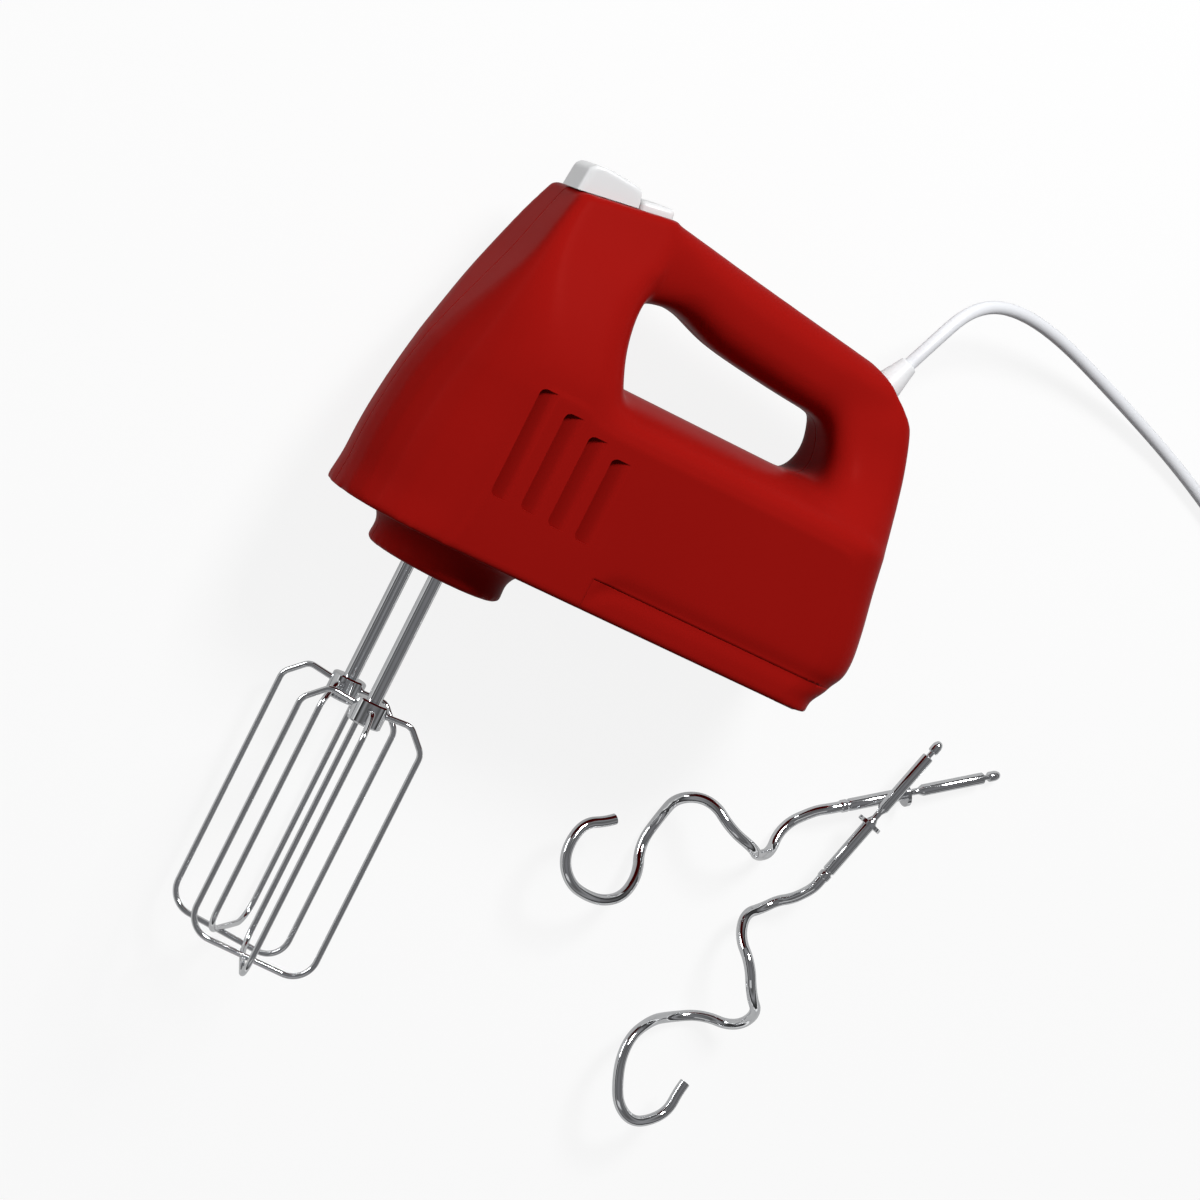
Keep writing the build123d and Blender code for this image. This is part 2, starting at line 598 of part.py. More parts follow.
def wheel_outline(angle):
    """Corner points of the toothed outline, turned by angle about the wheel's axis."""
    points = []
    for tooth in range(WHEEL_TEETH):
        for radius, half in (
            (WHEEL_PITCH_RADIUS - 1.2 * MODULE, HALF_TOOTH + 1.2 * MODULE * FLANK),
            (WHEEL_PITCH_RADIUS + ADDENDUM, HALF_TOOTH - ADDENDUM * FLANK),
            (WHEEL_PITCH_RADIUS + ADDENDUM, -HALF_TOOTH + ADDENDUM * FLANK),
            (WHEEL_PITCH_RADIUS - 1.2 * MODULE, -HALF_TOOTH - 1.2 * MODULE * FLANK),
        ):
            at = angle + 2 * math.pi * tooth / WHEEL_TEETH - math.asin(half / radius)
            points.append((radius * math.sin(at), radius * math.cos(at)))
    return points


def drive_gear(side, name):
    """Worm wheel and spindle of one beater; side is +1 for the left, upper one."""
    centre = MID_Z + BEATER_SPACING / 2 * side
    twist = (WORM_LEAD / (2 * math.pi)) / (WORM_PITCH_RADIUS * WHEEL_PITCH_RADIUS)

    def disc(y):
        return Plane(origin=(BEATER_X, y, centre), x_dir=(1, 0, 0), z_dir=(0, 1, 0))

    with BuildPart() as wheel:
        # Three sections, so that no step turns by more than half a tooth.
        for share in (-0.5, 0.0, 0.5):
            height = share * WHEEL_WIDTH
            with BuildSketch(disc(height)):
                with BuildLine():
                    # Local y points down to the table, so the outline starts on the side facing the worm.
                    turned = [(x * side, y * side) for x, y in wheel_outline(-twist * height)]
                    Polyline(*turned, close=True)
                make_face()
        loft(ruled=True)
        with BuildSketch(disc(-WHEEL_WIDTH / 2)):
            Circle(SPINDLE_RADIUS + PRESS_FIT)
        extrude(amount=WHEEL_WIDTH, mode=Mode.SUBTRACT)
    with BuildPart() as spindle:
        with BuildSketch(disc(SPINDLE_BOTTOM_Y)):
            Circle(SPINDLE_RADIUS)
            Circle(SHAFT_RADIUS + RUN_FIT, mode=Mode.SUBTRACT)
        extrude(amount=SPINDLE_TOP_Y - SPINDLE_BOTTOM_Y)
        with BuildSketch(disc(SPINDLE_BOTTOM_Y)):
            Rectangle(EAR[0] + 3, EAR[1] + 0.4)
        extrude(amount=at_y(EAR_LOW) + EAR[2] + 0.2 - SPINDLE_BOTTOM_Y, mode=Mode.SUBTRACT)
    print(name, "wheel valid", wheel.part.is_valid, "spindle valid", spindle.part.is_valid)
    save(wheel, f"{name}_worm_wheel")
    save(spindle, f"{name}_spindle")


drive_gear(1, "left")
drive_gear(-1, "right")

# Beaters: shaft with drive ears, hub and two crossed wire loops
HUB_RADIUS = 6.75
HUB_LOW, HUB_HIGH = -74.6, -65.2
BEATER_TOP = 57.0
WIRE_RADIUS = 1.15
CAGE_RADIUS = 24.4
CAGE_TURN = 22.5  # degrees, turn of the loops that lets the two cages pass through each other
CAGE_REST = 36.0  # degrees, how far both gears have run on at rest, one each way
LOOP_BOTTOMS = (-173.6, -171.0)
LOOP_CORNER = 9.5  # bend at the foot of each loop


def beater(side, name):
    """One beater, from its shaft end in the spindle to the crossed bottoms of its loops."""
    centre = MID_Z + BEATER_SPACING / 2 * side

    def disc(height):
        return Plane(origin=(BEATER_X, at_y(height), centre), x_dir=(1, 0, 0), z_dir=(0, 1, 0))

    with BuildPart() as shaft:
        with BuildSketch(disc(HUB_LOW + 1)):
            Circle(SHAFT_RADIUS)
        extrude(amount=BEATER_TOP - HUB_LOW - 1)
        chamfer(shaft.edges().filter_by(GeomType.CIRCLE).sort_by(Axis.Y)[-1], 0.8)
        with BuildSketch(disc(EAR_LOW)):
            Rectangle(EAR[0], EAR[1])
        extrude(amount=EAR[2])
        with BuildSketch(disc(47.0)):
            Circle(SHAFT_RADIUS + 1)
            Circle(SHAFT_RADIUS - 0.5, mode=Mode.SUBTRACT)
        extrude(amount=2.0, mode=Mode.SUBTRACT)
    with BuildPart() as hub:
        with BuildSketch(disc(HUB_LOW)):
            Circle(HUB_RADIUS)
        extrude(amount=HUB_HIGH - HUB_LOW)
        chamfer(hub.edges().filter_by(GeomType.CIRCLE), 0.6)
        with BuildSketch(disc(HUB_LOW + 1)):
            Circle(SHAFT_RADIUS + PRESS_FIT)
        extrude(amount=HUB_HIGH - HUB_LOW, mode=Mode.SUBTRACT)
    with BuildPart() as wires:
        for loop, bottom in enumerate(LOOP_BOTTOMS):
            angle = math.radians(CAGE_TURN - side * CAGE_REST + 90 * loop)
            out = (math.sin(angle), 0, math.cos(angle))
            plane = Plane(
                origin=(BEATER_X, BASE_Y, centre),
                x_dir=out,
                z_dir=(out[2], 0, -out[0]),
            )
            arm = [
                (3.6, HUB_LOW + 5.8),
                (16.5, HUB_HIGH - 2.6),
                (CAGE_RADIUS, HUB_LOW - 1.0),
                (CAGE_RADIUS, bottom),
            ]
            if plane.y_dir.Y < 0:
                arm = [(r, -h) for r, h in arm]
            route = arm + [(-r, h) for r, h in reversed(arm)]
            with BuildLine(plane) as path:
                FilletPolyline(*route, radius=[4.5, 5.5, LOOP_CORNER, LOOP_CORNER, 5.5, 4.5])
            with BuildSketch(Plane(origin=path.line @ 0, z_dir=path.line % 0)):
                Circle(WIRE_RADIUS)
            sweep(path=path.line)
            for end, direction in ((path.line @ 0, path.line % 0), (path.line @ 1, -(path.line % 1))):
                with BuildPart(mode=Mode.PRIVATE) as hole:
                    with BuildSketch(Plane(origin=end - direction * 0.1, z_dir=direction)):
                        Circle(WIRE_RADIUS + RUN_FIT)
                    extrude(amount=8.0)
                hub.part = hub.part - hole.part
    print(name, "beater", [shape.part.is_valid for shape in (shaft, hub, wires)], len(wires.part.solids()))
    save(shaft, f"{name}_beater_shaft")
    save(hub, f"{name}_beater_hub")
    save(wires, f"{name}_beater_wires")


beater(1, "left")
beater(-1, "right")

# Controls on the top face: speed selector on a carriage, and the eject button with its rod
SELECTOR_OFFSET = -5.0  # rest place across the top face, towards the left side
SELECTOR_HALF_WIDTH = 10.0
STEM = (8.0, 7.0)

with BuildPart() as speed_selector:
    with BuildSketch(Plane(origin=TOP_PLANE.from_local_coords((0, SELECTOR_OFFSET - SELECTOR_HALF_WIDTH, 0)),
                           x_dir=TOP_PLANE.x_dir, z_dir=TOP_PLANE.y_dir)) as wedge:
        with BuildLine():
            # Local y points into the housing, so heights above the top face are negative.
            Polyline(
                (-20.5, -0.3),
                (-18.6, -8.2),
                (-14.5, -10.3),
                (-7.5, -9.7),
                (7.4, -4.2),
                (8.0, -0.3),
                close=True,
            )
        make_face()
    extrude(amount=2 * SELECTOR_HALF_WIDTH)
    for u in (-10.0, -6.6, -3.2, 0.2, 3.6):
        with BuildSketch(TOP_PLANE.offset(12)):
            with Locations((u, SELECTOR_OFFSET)):
                Rectangle(1.1, 2 * SELECTOR_HALF_WIDTH - 4)
        extrude(amount=-(12 - 8.7 + 0.37 * max(u + 7.5, 0)), mode=Mode.SUBTRACT)
    with BuildSketch(TOP_PLANE.offset(0.5)):
        with Locations((TOP_SLOT_U, SELECTOR_OFFSET)):
            Rectangle(*STEM)
    extrude(amount=-8.0)
save(speed_selector, "speed_selector")

with BuildPart() as selector_carriage:
    with BuildSketch(TOP_PLANE.offset(-WALL - 0.5)):
        with Locations((TOP_SLOT_U, SELECTOR_OFFSET)):
            Rectangle(16, 16)
            Rectangle(STEM[0] + 0.1, STEM[1] + 0.1, mode=Mode.SUBTRACT)
    extrude(amount=-3.0)
save(selector_carriage, "selector_carriage")

with BuildPart() as speed_switch:
    with BuildSketch(TOP_PLANE.offset(-8.2)):
        with Locations((TOP_SLOT_U - 1, 0)):
            Rectangle(15, 31)
    extrude(amount=-9.0)
    with BuildSketch(TOP_PLANE.offset(-8.2)):
        with Locations((TOP_SLOT_U - 1, 14.6), (TOP_SLOT_U - 1, -14.6)):
            Rectangle(15, 1.8)
    extrude(amount=8.2 - WALL - 0.15)
save(speed_switch, "speed_switch")

EJECT_PROUD = 3.4  # height of the eject button above the top face
ROD = (4.0, 6.0)
ROD_U = 11.5
GUIDE_DEPTH = 24.0
with BuildPart() as eject_button:
    with BuildSketch(TOP_PLANE.offset(EJECT_PROUD)):
        with Locations(((EJECT_U[0] + EJECT_U[1]) / 2, 0)):
            RectangleRounded(EJECT_U[1] - EJECT_U[0], 2 * EJECT_HALF_WIDTH, 1.5)
    extrude(amount=-EJECT_PROUD - WALL - 1.0)
    with BuildSketch(TOP_PLANE.offset(-WALL - 0.4)):
        with Locations(((EJECT_U[0] + EJECT_U[1]) / 2, 0)):
            Rectangle(EJECT_U[1] - EJECT_U[0] + 1.2, 2 * EJECT_HALF_WIDTH + 3.0)
    extrude(amount=-1.8)
save(eject_button, "eject_button")

ROD_END = 73.6
with BuildPart() as eject_rod:
    with BuildSketch(TOP_PLANE.offset(-WALL - 2.25)):
        with Locations((ROD_U, 0)):
            Rectangle(*ROD)
    extrude(amount=-(ROD_END - WALL - 2.25))
    with BuildSketch(TOP_PLANE.offset(-ROD_END)):
        with Locations((ROD_U + 4, 0)):
            Rectangle(32.5, 48, align=(Align.MAX, Align.CENTER))
    extrude(amount=3.0)
save(eject_rod, "eject_rod")

with BuildPart() as rod_guide:
    with BuildSketch(TOP_PLANE.offset(-GUIDE_DEPTH)):
        with Locations((ROD_U + 3.5, 0)):
            Rectangle(17, 80)
            with Locations((-3.5, 0)):
                Rectangle(ROD[0] + 0.4, ROD[1] + 0.4, mode=Mode.SUBTRACT)
    extrude(amount=-2.0)
    add(housing_solid(WALL + 0.25), mode=Mode.INTERSECT)
save(rod_guide, "rod_guide")

SPRING_RADIUS, SPRING_WIRE, SPRING_TURNS = 4.9, 0.45, 7
with BuildPart() as eject_spring:
    spring_length = GUIDE_DEPTH - WALL - 2.25 - 2 * SPRING_WIRE - 0.1
    spring_foot = TOP_PLANE.from_local_coords((ROD_U, 0, -GUIDE_DEPTH + SPRING_WIRE + 0.05))
    with BuildLine() as coil_path:
        Helix(pitch=spring_length / SPRING_TURNS, height=spring_length, radius=SPRING_RADIUS,
              center=spring_foot, direction=TOP_PLANE.z_dir)
    with BuildSketch(Plane(origin=coil_path.line @ 0, z_dir=coil_path.line % 0)):
        Circle(SPRING_WIRE)
    sweep(path=coil_path.line, is_frenet=True)
save(eject_spring, "eject_spring")
print("controls", speed_selector.part.is_valid, rod_guide.part.is_valid, len(rod_guide.part.solids()),
      eject_rod.part.is_valid, eject_spring.part.is_valid)

# Strain relief and cord
CORD_RADIUS = 2.6
GLAND_LENGTH = 11.5
GLAND_TAIL = 4.0  # sleeve inside the housing, behind the flange
with BuildPart() as strain_relief:
    with BuildSketch(GLAND_PLANE.offset(0.15)):
        Circle(5.8)
    with BuildSketch(GLAND_PLANE.offset(GLAND_LENGTH)):
        Circle(3.7)
    loft()
    with BuildSketch(GLAND_PLANE.offset(0.15)):
        Circle(GLAND_NECK_RADIUS)
    extrude(amount=-WALL - 0.4)
    with BuildSketch(GLAND_PLANE.offset(-WALL - 0.2)):
        Circle(6.2)
    extrude(amount=-3.0)
    with BuildSketch(GLAND_PLANE.offset(-WALL - 3.0)):
        Circle(GLAND_NECK_RADIUS)
    extrude(amount=-GLAND_TAIL)
    for ring in (3.0, 5.6, 8.2):
        with BuildSketch(GLAND_PLANE.offset(ring)):
            Circle(8)
            Circle(4.2 - ring * 0.06, mode=Mode.SUBTRACT)
        extrude(amount=1.0, mode=Mode.SUBTRACT)
    with BuildSketch(GLAND_PLANE.offset(GLAND_LENGTH + 1)):
        Circle(CORD_RADIUS + 0.02)
    extrude(amount=-GLAND_LENGTH - 16, mode=Mode.SUBTRACT)
save(strain_relief, "strain_relief")

exit_in = GLAND_PLANE.from_local_coords((0, 0, -0.5))
exit_out = GLAND_PLANE.from_local_coords((0, 0, 22.3))
COIL_ENTRY = (256.0, 95.0)
COIL_HEADING = (0.9207, -0.3903)
COIL_LOW_Z = CORD_RADIUS + 1.1
CORD_BREAK = 0.25  # gap where one length of cord is continued by the next


def beside_coil(along, height):
    """Point on the line that touches the coil at its entry."""
    return (COIL_ENTRY[0] + along * COIL_HEADING[0], COIL_ENTRY[1] + along * COIL_HEADING[1], height)


CORD_ROUTE = [
    tuple(exit_in),
    tuple(exit_out),
    (86.0, 125.6, 37.7),
    (103.5, 134.3, 29.0),
    (131.0, 134.5, 19.5),
    (172.0, 125.0, 8.5),
    beside_coil(-41.9, COIL_LOW_Z),
    beside_coil(-CORD_BREAK, COIL_LOW_Z),
]


def bend_radii(route):
    """Radius of each bend: as large as nine tenths of half the shorter run beside it allows."""
    radii = []
    for before, corner, after in zip(route, route[1:], route[2:]):
        first = Vector(corner) - Vector(before)
        second = Vector(after) - Vector(corner)
        half_turn = math.radians(first.get_angle(second)) / 2
        radii.append(0.45 * min(first.length, second.length) / math.tan(half_turn))
    return radii


def tube(route, name):
    """Round cord swept along straight runs and tangent arcs."""
    radii = bend_radii(route)
    with BuildPart() as swept:
        with BuildLine() as path:
            FilletPolyline(*route, radius=radii)
        with BuildSketch(Plane(origin=path.line @ 0, z_dir=path.line % 0)):
            Circle(CORD_RADIUS)
        sweep(path=path.line)
    length = path.wires()[0].length
    share = swept.part.volume / (math.pi * CORD_RADIUS**2 * length)
    print(name, "least bend", round(min(radii), 1), "length", round(length), "volume share", round(share, 4))
    save(swept, name)
    return length


cord_length = tube(CORD_ROUTE, "cord")

# Coil: spirals in on the lower layer, climbs, and spirals out again on the upper layer
COIL_RADIUS = 36.0
COIL_TURNS = 5
COIL_PITCH = 5.9
COIL_STEP = 5.9
COIL_CENTRE = (
    COIL_ENTRY[0] - COIL_RADIUS * COIL_HEADING[1],
    COIL_ENTRY[1] + COIL_RADIUS * COIL_HEADING[0],
)
COIL_START_ANGLE = math.atan2(COIL_ENTRY[1] - COIL_CENTRE[1], COIL_ENTRY[0] - COIL_CENTRE[0])


def coil_point(turn):
    """Point of the coil after a number of turns."""
    half = COIL_TURNS / 2
    radius = COIL_RADIUS - COIL_PITCH * (half - abs(turn - half))
    angle = COIL_START_ANGLE + 2 * math.pi * turn
    climb = min(max((turn - half + 0.25) / 0.5, 0.0), 1.0)
    height = COIL_LOW_Z + COIL_STEP * climb * climb * (3 - 2 * climb)
    out = (radius * math.cos(angle), radius * math.sin(angle))
    return Vector(COIL_CENTRE[0] + out[0], COIL_CENTRE[1] + out[1], height)


def coil_heading(turn):
    """Unit tangent of the coil after a number of turns."""
    step = 1e-4
    return (coil_point(turn + step) - coil_point(turn - step)).normalized()


def biarc_join(start, heading, end, end_heading):
    """Point where two arcs meet that leave start and reach end along the given headings."""
    gap = end - start
    total = heading + end_heading
    lift = 2 * (1 - heading.dot(end_heading))
    if lift < 1e-9:
        return start + gap * 0.5
    along = gap.dot(total)
    reach = (math.sqrt(along**2 + lift * gap.dot(gap)) - along) / lift
    return (start + heading * reach + end - end_heading * reach) * 0.5


def biarc_path(points, headings):
    """Chain of tangent arcs through the points along their headings."""
    heading = headings[0]
    for i in range(len(points) - 1):
        middle = biarc_join(points[i], heading, points[i + 1], headings[i + 1])
        first = TangentArc(points[i], middle, tangent=heading)
        second = TangentArc(middle, points[i + 1], tangent=first % 1)
        heading = second % 1


SAMPLES = 4 * COIL_TURNS
coil_turns = [COIL_TURNS * i / SAMPLES for i in range(SAMPLES + 1)]
with BuildPart() as cord_coil:
    with BuildLine() as coil_line:
        biarc_path([coil_point(t) for t in coil_turns], [coil_heading(t) for t in coil_turns])
    with BuildSketch(Plane(origin=coil_line.line @ 0, z_dir=coil_line.line % 0)):
        Circle(CORD_RADIUS)
    sweep(path=coil_line.line)
stations = [coil_point(COIL_TURNS * i / 800) for i in range(801)]
least = min((a - b).length for i, a in enumerate(stations) for b in stations[i + 80:]) - 2 * CORD_RADIUS
coil_length = coil_line.wires()[0].length
share = cord_coil.part.volume / (math.pi * CORD_RADIUS**2 * coil_length)
print("coil valid", cord_coil.part.is_valid, "least gap to itself", round(least, 2),
      "length", round(coil_length), "volume share", round(share, 4))
save(cord_coil, "cord_coil")

# Tie round the coil, on the side away from the cord's entry
TIE_WALL, TIE_WIDTH = 0.8, 5.0
TIE_ANGLE = COIL_START_ANGLE + math.pi
tie_out = (math.cos(TIE_ANGLE), math.sin(TIE_ANGLE), 0)
with BuildPart() as cord_tie:
    inner_edge = COIL_RADIUS - COIL_PITCH * COIL_TURNS / 2 - CORD_RADIUS - 0.7
    outer_edge = COIL_RADIUS - COIL_PITCH / 2 + CORD_RADIUS + 0.7
    tie_height = 2 * CORD_RADIUS + COIL_STEP + 0.6
    tie_plane = Plane(
        origin=(*COIL_CENTRE, 0.9),
        x_dir=tie_out,
        z_dir=(tie_out[1], -tie_out[0], 0),
    )
    with BuildSketch(tie_plane.offset(-TIE_WIDTH / 2)):
        with Locations(((inner_edge + outer_edge) / 2, tie_height / 2)):
            RectangleRounded(outer_edge - inner_edge + 2 * TIE_WALL, tie_height + 2 * TIE_WALL, 3.0)
            RectangleRounded(outer_edge - inner_edge, tie_height, 2.2, mode=Mode.SUBTRACT)
    extrude(amount=TIE_WIDTH)
print("tie", cord_tie.part.bounding_box())
save(cord_tie, "cord_tie")

# Short free end of the cord, plug and pins
tail_start = coil_point(COIL_TURNS) + coil_heading(COIL_TURNS) * CORD_BREAK
PLUG_START = beside_coil(56.6, 7.4)
TAIL_ROUTE = [tuple(tail_start), beside_coil(29.0, 8.8), PLUG_START]
tail_length = tube(TAIL_ROUTE, "cord_tail")
plug_heading = (Vector(PLUG_START) - Vector(TAIL_ROUTE[1])).normalized()
PLUG_PLANE = Plane(
    origin=PLUG_START,
    x_dir=Vector(-plug_heading.Y, plug_heading.X, 0).normalized(),
    z_dir=Vector(plug_heading.X, plug_heading.Y, 0).normalized(),
)
PIN_SPACING, PIN_RADIUS, PIN_LENGTH = 18.6, 2.0, 19.0
PLUG_LENGTH = 35.0
PLUG_BACK = 0.6  # gap between the cord's end and the plug's back
PLUG_FACE = PLUG_BACK + PLUG_LENGTH
PIN_ROOT_RADIUS, PIN_ROOT_DEPTH = 1.6, 7.0  # part of each pin held in the plug
with BuildPart() as plug_body:
    for along, width, thick, corner in (
        (PLUG_BACK, 8.5, 8.5, 4.0),
        (14.0, 10.0, 9.5, 4.2),
        (22.0, 30.0, 12.0, 5.5),
        (PLUG_FACE, 34.0, 13.4, 6.0),
    ):
        with BuildSketch(PLUG_PLANE.offset(along)):
            RectangleRounded(width, thick, corner)
    loft(ruled=True)
    with BuildSketch(PLUG_PLANE.offset(PLUG_FACE)):
        with Locations((PIN_SPACING / 2, 0), (-PIN_SPACING / 2, 0)):
            Circle(PIN_ROOT_RADIUS + 0.02)
    extrude(amount=-PIN_ROOT_DEPTH - 0.5, mode=Mode.SUBTRACT)
save(plug_body, "plug_body")
with BuildPart() as plug_pins:
    with BuildSketch(PLUG_PLANE.offset(PLUG_FACE)):
        with Locations((PIN_SPACING / 2, 0), (-PIN_SPACING / 2, 0)):
            Circle(PIN_RADIUS)
    extrude(amount=PIN_LENGTH)
    pin_ends = plug_pins.edges().filter_by(GeomType.CIRCLE).sort_by(
        lambda edge: edge.center().dot(PLUG_PLANE.z_dir))
    fillet(pin_ends[-2:], 1.2)
    with BuildSketch(PLUG_PLANE.offset(PLUG_FACE)):
        with Locations((PIN_SPACING / 2, 0), (-PIN_SPACING / 2, 0)):
            Circle(PIN_ROOT_RADIUS)
    extrude(amount=-PIN_ROOT_DEPTH)
save(plug_pins, "plug_pins")
print("plug", plug_body.part.is_valid, plug_pins.part.is_valid, plug_body.part.bounding_box())
print("whole cord", round(cord_length + coil_length + tail_length), "mm")

# Dough hooks, lying on the table: shank, washer and twisted wire
HOOK_WIRE_RADIUS = 2.2
SHANK_RADIUS, SHANK_LENGTH = 2.6, 75.0
WASHER_PLACE, WASHER_RADIUS = 43.0, 5.2
HOOK_RADIUS = 13.0
HOOK_REST = 150.5  # place along the hook that touches the table


def hook(tip, heading, tip_z, hand, name):
    """One dough hook from the end of its shank; hand is +1 or -1 for the turn of its twist."""
    rest_z = HOOK_RADIUS + HOOK_WIRE_RADIUS + 0.1
    rise = (rest_z - tip_z) / HOOK_REST
    along = Vector(heading[0], heading[1], 0).normalized()
    axis = Vector(along.X, along.Y, rise).normalized()
    across_hook = Vector(-along.Y, along.X, 0)
    up = axis.cross(across_hook)
    if up.Z < 0:
        up = up * -1
    origin = Vector(*tip, tip_z)

    def place(s, v, w):
        return origin + axis * s + across_hook * (v * hand) + up * w

    with BuildPart() as shank:
        with BuildSketch(Plane(origin=origin, z_dir=axis)):
            Circle(SHANK_RADIUS)
        extrude(amount=SHANK_LENGTH)
        chamfer(shank.edges().filter_by(GeomType.CIRCLE), 0.9)
    with BuildPart() as washer:
        with BuildSketch(Plane(origin=place(WASHER_PLACE, 0, 0), z_dir=axis)):
            Circle(WASHER_RADIUS)
            Circle(SHANK_RADIUS + PRESS_FIT, mode=Mode.SUBTRACT)
        extrude(amount=1.6)
    # Twist: the wire leaves the shank, winds once and a half about the axis and turns back on itself.
    points = [
        place(SHANK_LENGTH, 0, 0),
        place(84.0, 1.2, -3.0),
        place(94.0, 6.2, -7.0),
        place(107.0, 13.6, 0.0),
        place(121.5, 1.2, 12.5),
        place(136.0, -16.0, 1.0),
        place(HOOK_REST, -1.2, -HOOK_RADIUS),
        place(166.0, 16.6, -1.0),
        place(182.5, 15.6, 6.0),
        place(195.0, 1.2, 8.3),
        place(187.0, -13.0, 4.0),
        place(170.5, -13.6, 1.0),
    ]
    headings = [axis]
    for before, after in zip(points, points[2:]):
        headings.append((after - before).normalized())
    headings.append((points[-1] - points[-2]).normalized())
    with BuildPart() as wire:
        with BuildLine() as path:
            biarc_path(points, headings)
        with BuildSketch(Plane(origin=path.line @ 0, z_dir=path.line % 0)):
            Circle(HOOK_WIRE_RADIUS)
        sweep(path=path.line)
    ratio = wire.part.volume / (math.pi * HOOK_WIRE_RADIUS**2 * path.wires()[0].length)
    print(name, wire.part.is_valid, "volume share", round(ratio, 4), wire.part.bounding_box())
    save(shank, f"{name}_shank")
    save(washer, f"{name}_washer")
    save(wire, f"{name}_wire")


hook((210.2, -33.5), (-0.845, -0.534), SHANK_RADIUS + 0.1, 1, "first_hook")
hook((173.0, -31.0), (-0.271, -0.963), 14.6, -1, "second_hook")
print(len(EXPORTED), "pieces")
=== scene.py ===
"""Red hand mixer lying on its right side.

The beaters are fitted, the dough hooks lie beside it and the spare cord is wound up and tied.
"""

import math

import bmesh
import bpy
from mathutils import Matrix, Vector


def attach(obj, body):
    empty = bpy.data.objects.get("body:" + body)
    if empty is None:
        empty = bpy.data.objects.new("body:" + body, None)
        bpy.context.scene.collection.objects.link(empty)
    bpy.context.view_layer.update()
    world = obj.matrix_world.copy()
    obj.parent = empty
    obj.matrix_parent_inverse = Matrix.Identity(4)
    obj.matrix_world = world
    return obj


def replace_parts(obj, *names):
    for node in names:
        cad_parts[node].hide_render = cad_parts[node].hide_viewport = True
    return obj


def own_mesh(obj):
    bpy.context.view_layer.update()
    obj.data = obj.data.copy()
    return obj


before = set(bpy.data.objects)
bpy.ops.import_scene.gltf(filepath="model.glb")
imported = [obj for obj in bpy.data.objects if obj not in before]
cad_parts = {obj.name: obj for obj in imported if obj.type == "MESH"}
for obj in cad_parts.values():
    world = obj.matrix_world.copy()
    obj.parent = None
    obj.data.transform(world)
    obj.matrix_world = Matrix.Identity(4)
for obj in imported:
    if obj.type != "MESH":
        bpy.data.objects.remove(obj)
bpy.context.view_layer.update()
scene = bpy.context.scene
scene.view_settings.view_transform = "Standard"

# Places taken from the part: nose tip, underside of the base, mid plane
NOSE_X, BASE_Y, MID_Z = -0.110, -0.038, 0.044
HALF_WIDTH = 0.044
LEVEL = Matrix(((1, 0, 0, 0), (0, 0, 1, 0), (0, -1, 0, 0), (0, 0, 0, 1)))
UPRIGHT = Matrix(((0, 0, 1, 0), (1, 0, 0, 0), (0, 1, 0, 0), (0, 0, 0, 1)))


def along(x):
    """X of a place a given number of millimetres behind the nose."""
    return NOSE_X + x / 1000


def above(h):
    """Y of a place a given number of millimetres above the base."""
    return BASE_Y + h / 1000


def behind_and_above(point):
    """Millimetres that a point lies behind the nose and above the base."""
    return (point.x - NOSE_X) * 1000, (point.y - BASE_Y) * 1000


def sloped_frame(x, h, slope=0.0):
    """Matrix of a face leaning by slope degrees: local x along the mixer, y across it, z outwards."""
    turn = Matrix.Rotation(math.radians(slope), 4, "Z")
    return Matrix.Translation((along(x), above(h), MID_Z)) @ turn @ LEVEL


def upright_frame(x, h):
    """Matrix of an upright section whose local x runs up the mixer and local y across it."""
    return Matrix.Translation((along(x), above(h), MID_Z)) @ UPRIGHT


def outwards(face_frame):
    """Direction in which a face looks."""
    return face_frame.to_3x3() @ Vector((0, 0, 1))


TOP_FACE = sloped_frame(43.0, 136.8, 9.5)
GLAND_FACE = sloped_frame(176.6, 123.4, -22.0)
HEEL_CORNER = sloped_frame(184.6, 116.0, -37.0)
BEATER_X, BEATER_SPACING = along(43.0), 0.036

# Camera: nearly square to the left side, a little from the nose, rolled so that the nose points down
VIEW_TURN, VIEW_LIFT, VIEW_ROLL = math.radians(21.84), math.radians(4.0), math.radians(26.92)
VIEW_CENTRE = Vector((0.0015, -0.0357, MID_Z))
VIEW_DISTANCE = 1.3
VIEW_ANGLE = math.radians(19.696)
SENSOR_WIDTH = 36.0

sin_turn, cos_turn = math.sin(VIEW_TURN), math.cos(VIEW_TURN)
sin_lift, cos_lift = math.sin(VIEW_LIFT), math.cos(VIEW_LIFT)
level_right = Vector((cos_turn, 0, sin_turn))
level_up = Vector((sin_turn * sin_lift, cos_lift, -cos_turn * sin_lift))
to_camera = Vector((-sin_turn * cos_lift, sin_lift, cos_turn * cos_lift))
view_right = level_right * math.cos(VIEW_ROLL) + level_up * math.sin(VIEW_ROLL)
view_up = level_up * math.cos(VIEW_ROLL) - level_right * math.sin(VIEW_ROLL)


def facing(place, right, up, back):
    """Matrix that puts a lamp, a camera or a piece at a place with the given axes."""
    axes = Matrix((right, up, back)).transposed().to_4x4()
    return Matrix.Translation(place) @ axes


def make_camera():
    data = bpy.data.cameras.new("camera")
    data.sensor_fit = "HORIZONTAL"
    data.sensor_width = SENSOR_WIDTH
    data.lens = SENSOR_WIDTH / 2 / math.tan(VIEW_ANGLE / 2)
    data.clip_start, data.clip_end = 0.05, 20.0
    camera = bpy.data.objects.new("camera", data)
    place = VIEW_CENTRE + to_camera * VIEW_DISTANCE
    camera.matrix_world = facing(place, view_right, view_up, to_camera)
    scene.collection.objects.link(camera)
    scene.camera = camera


make_camera()


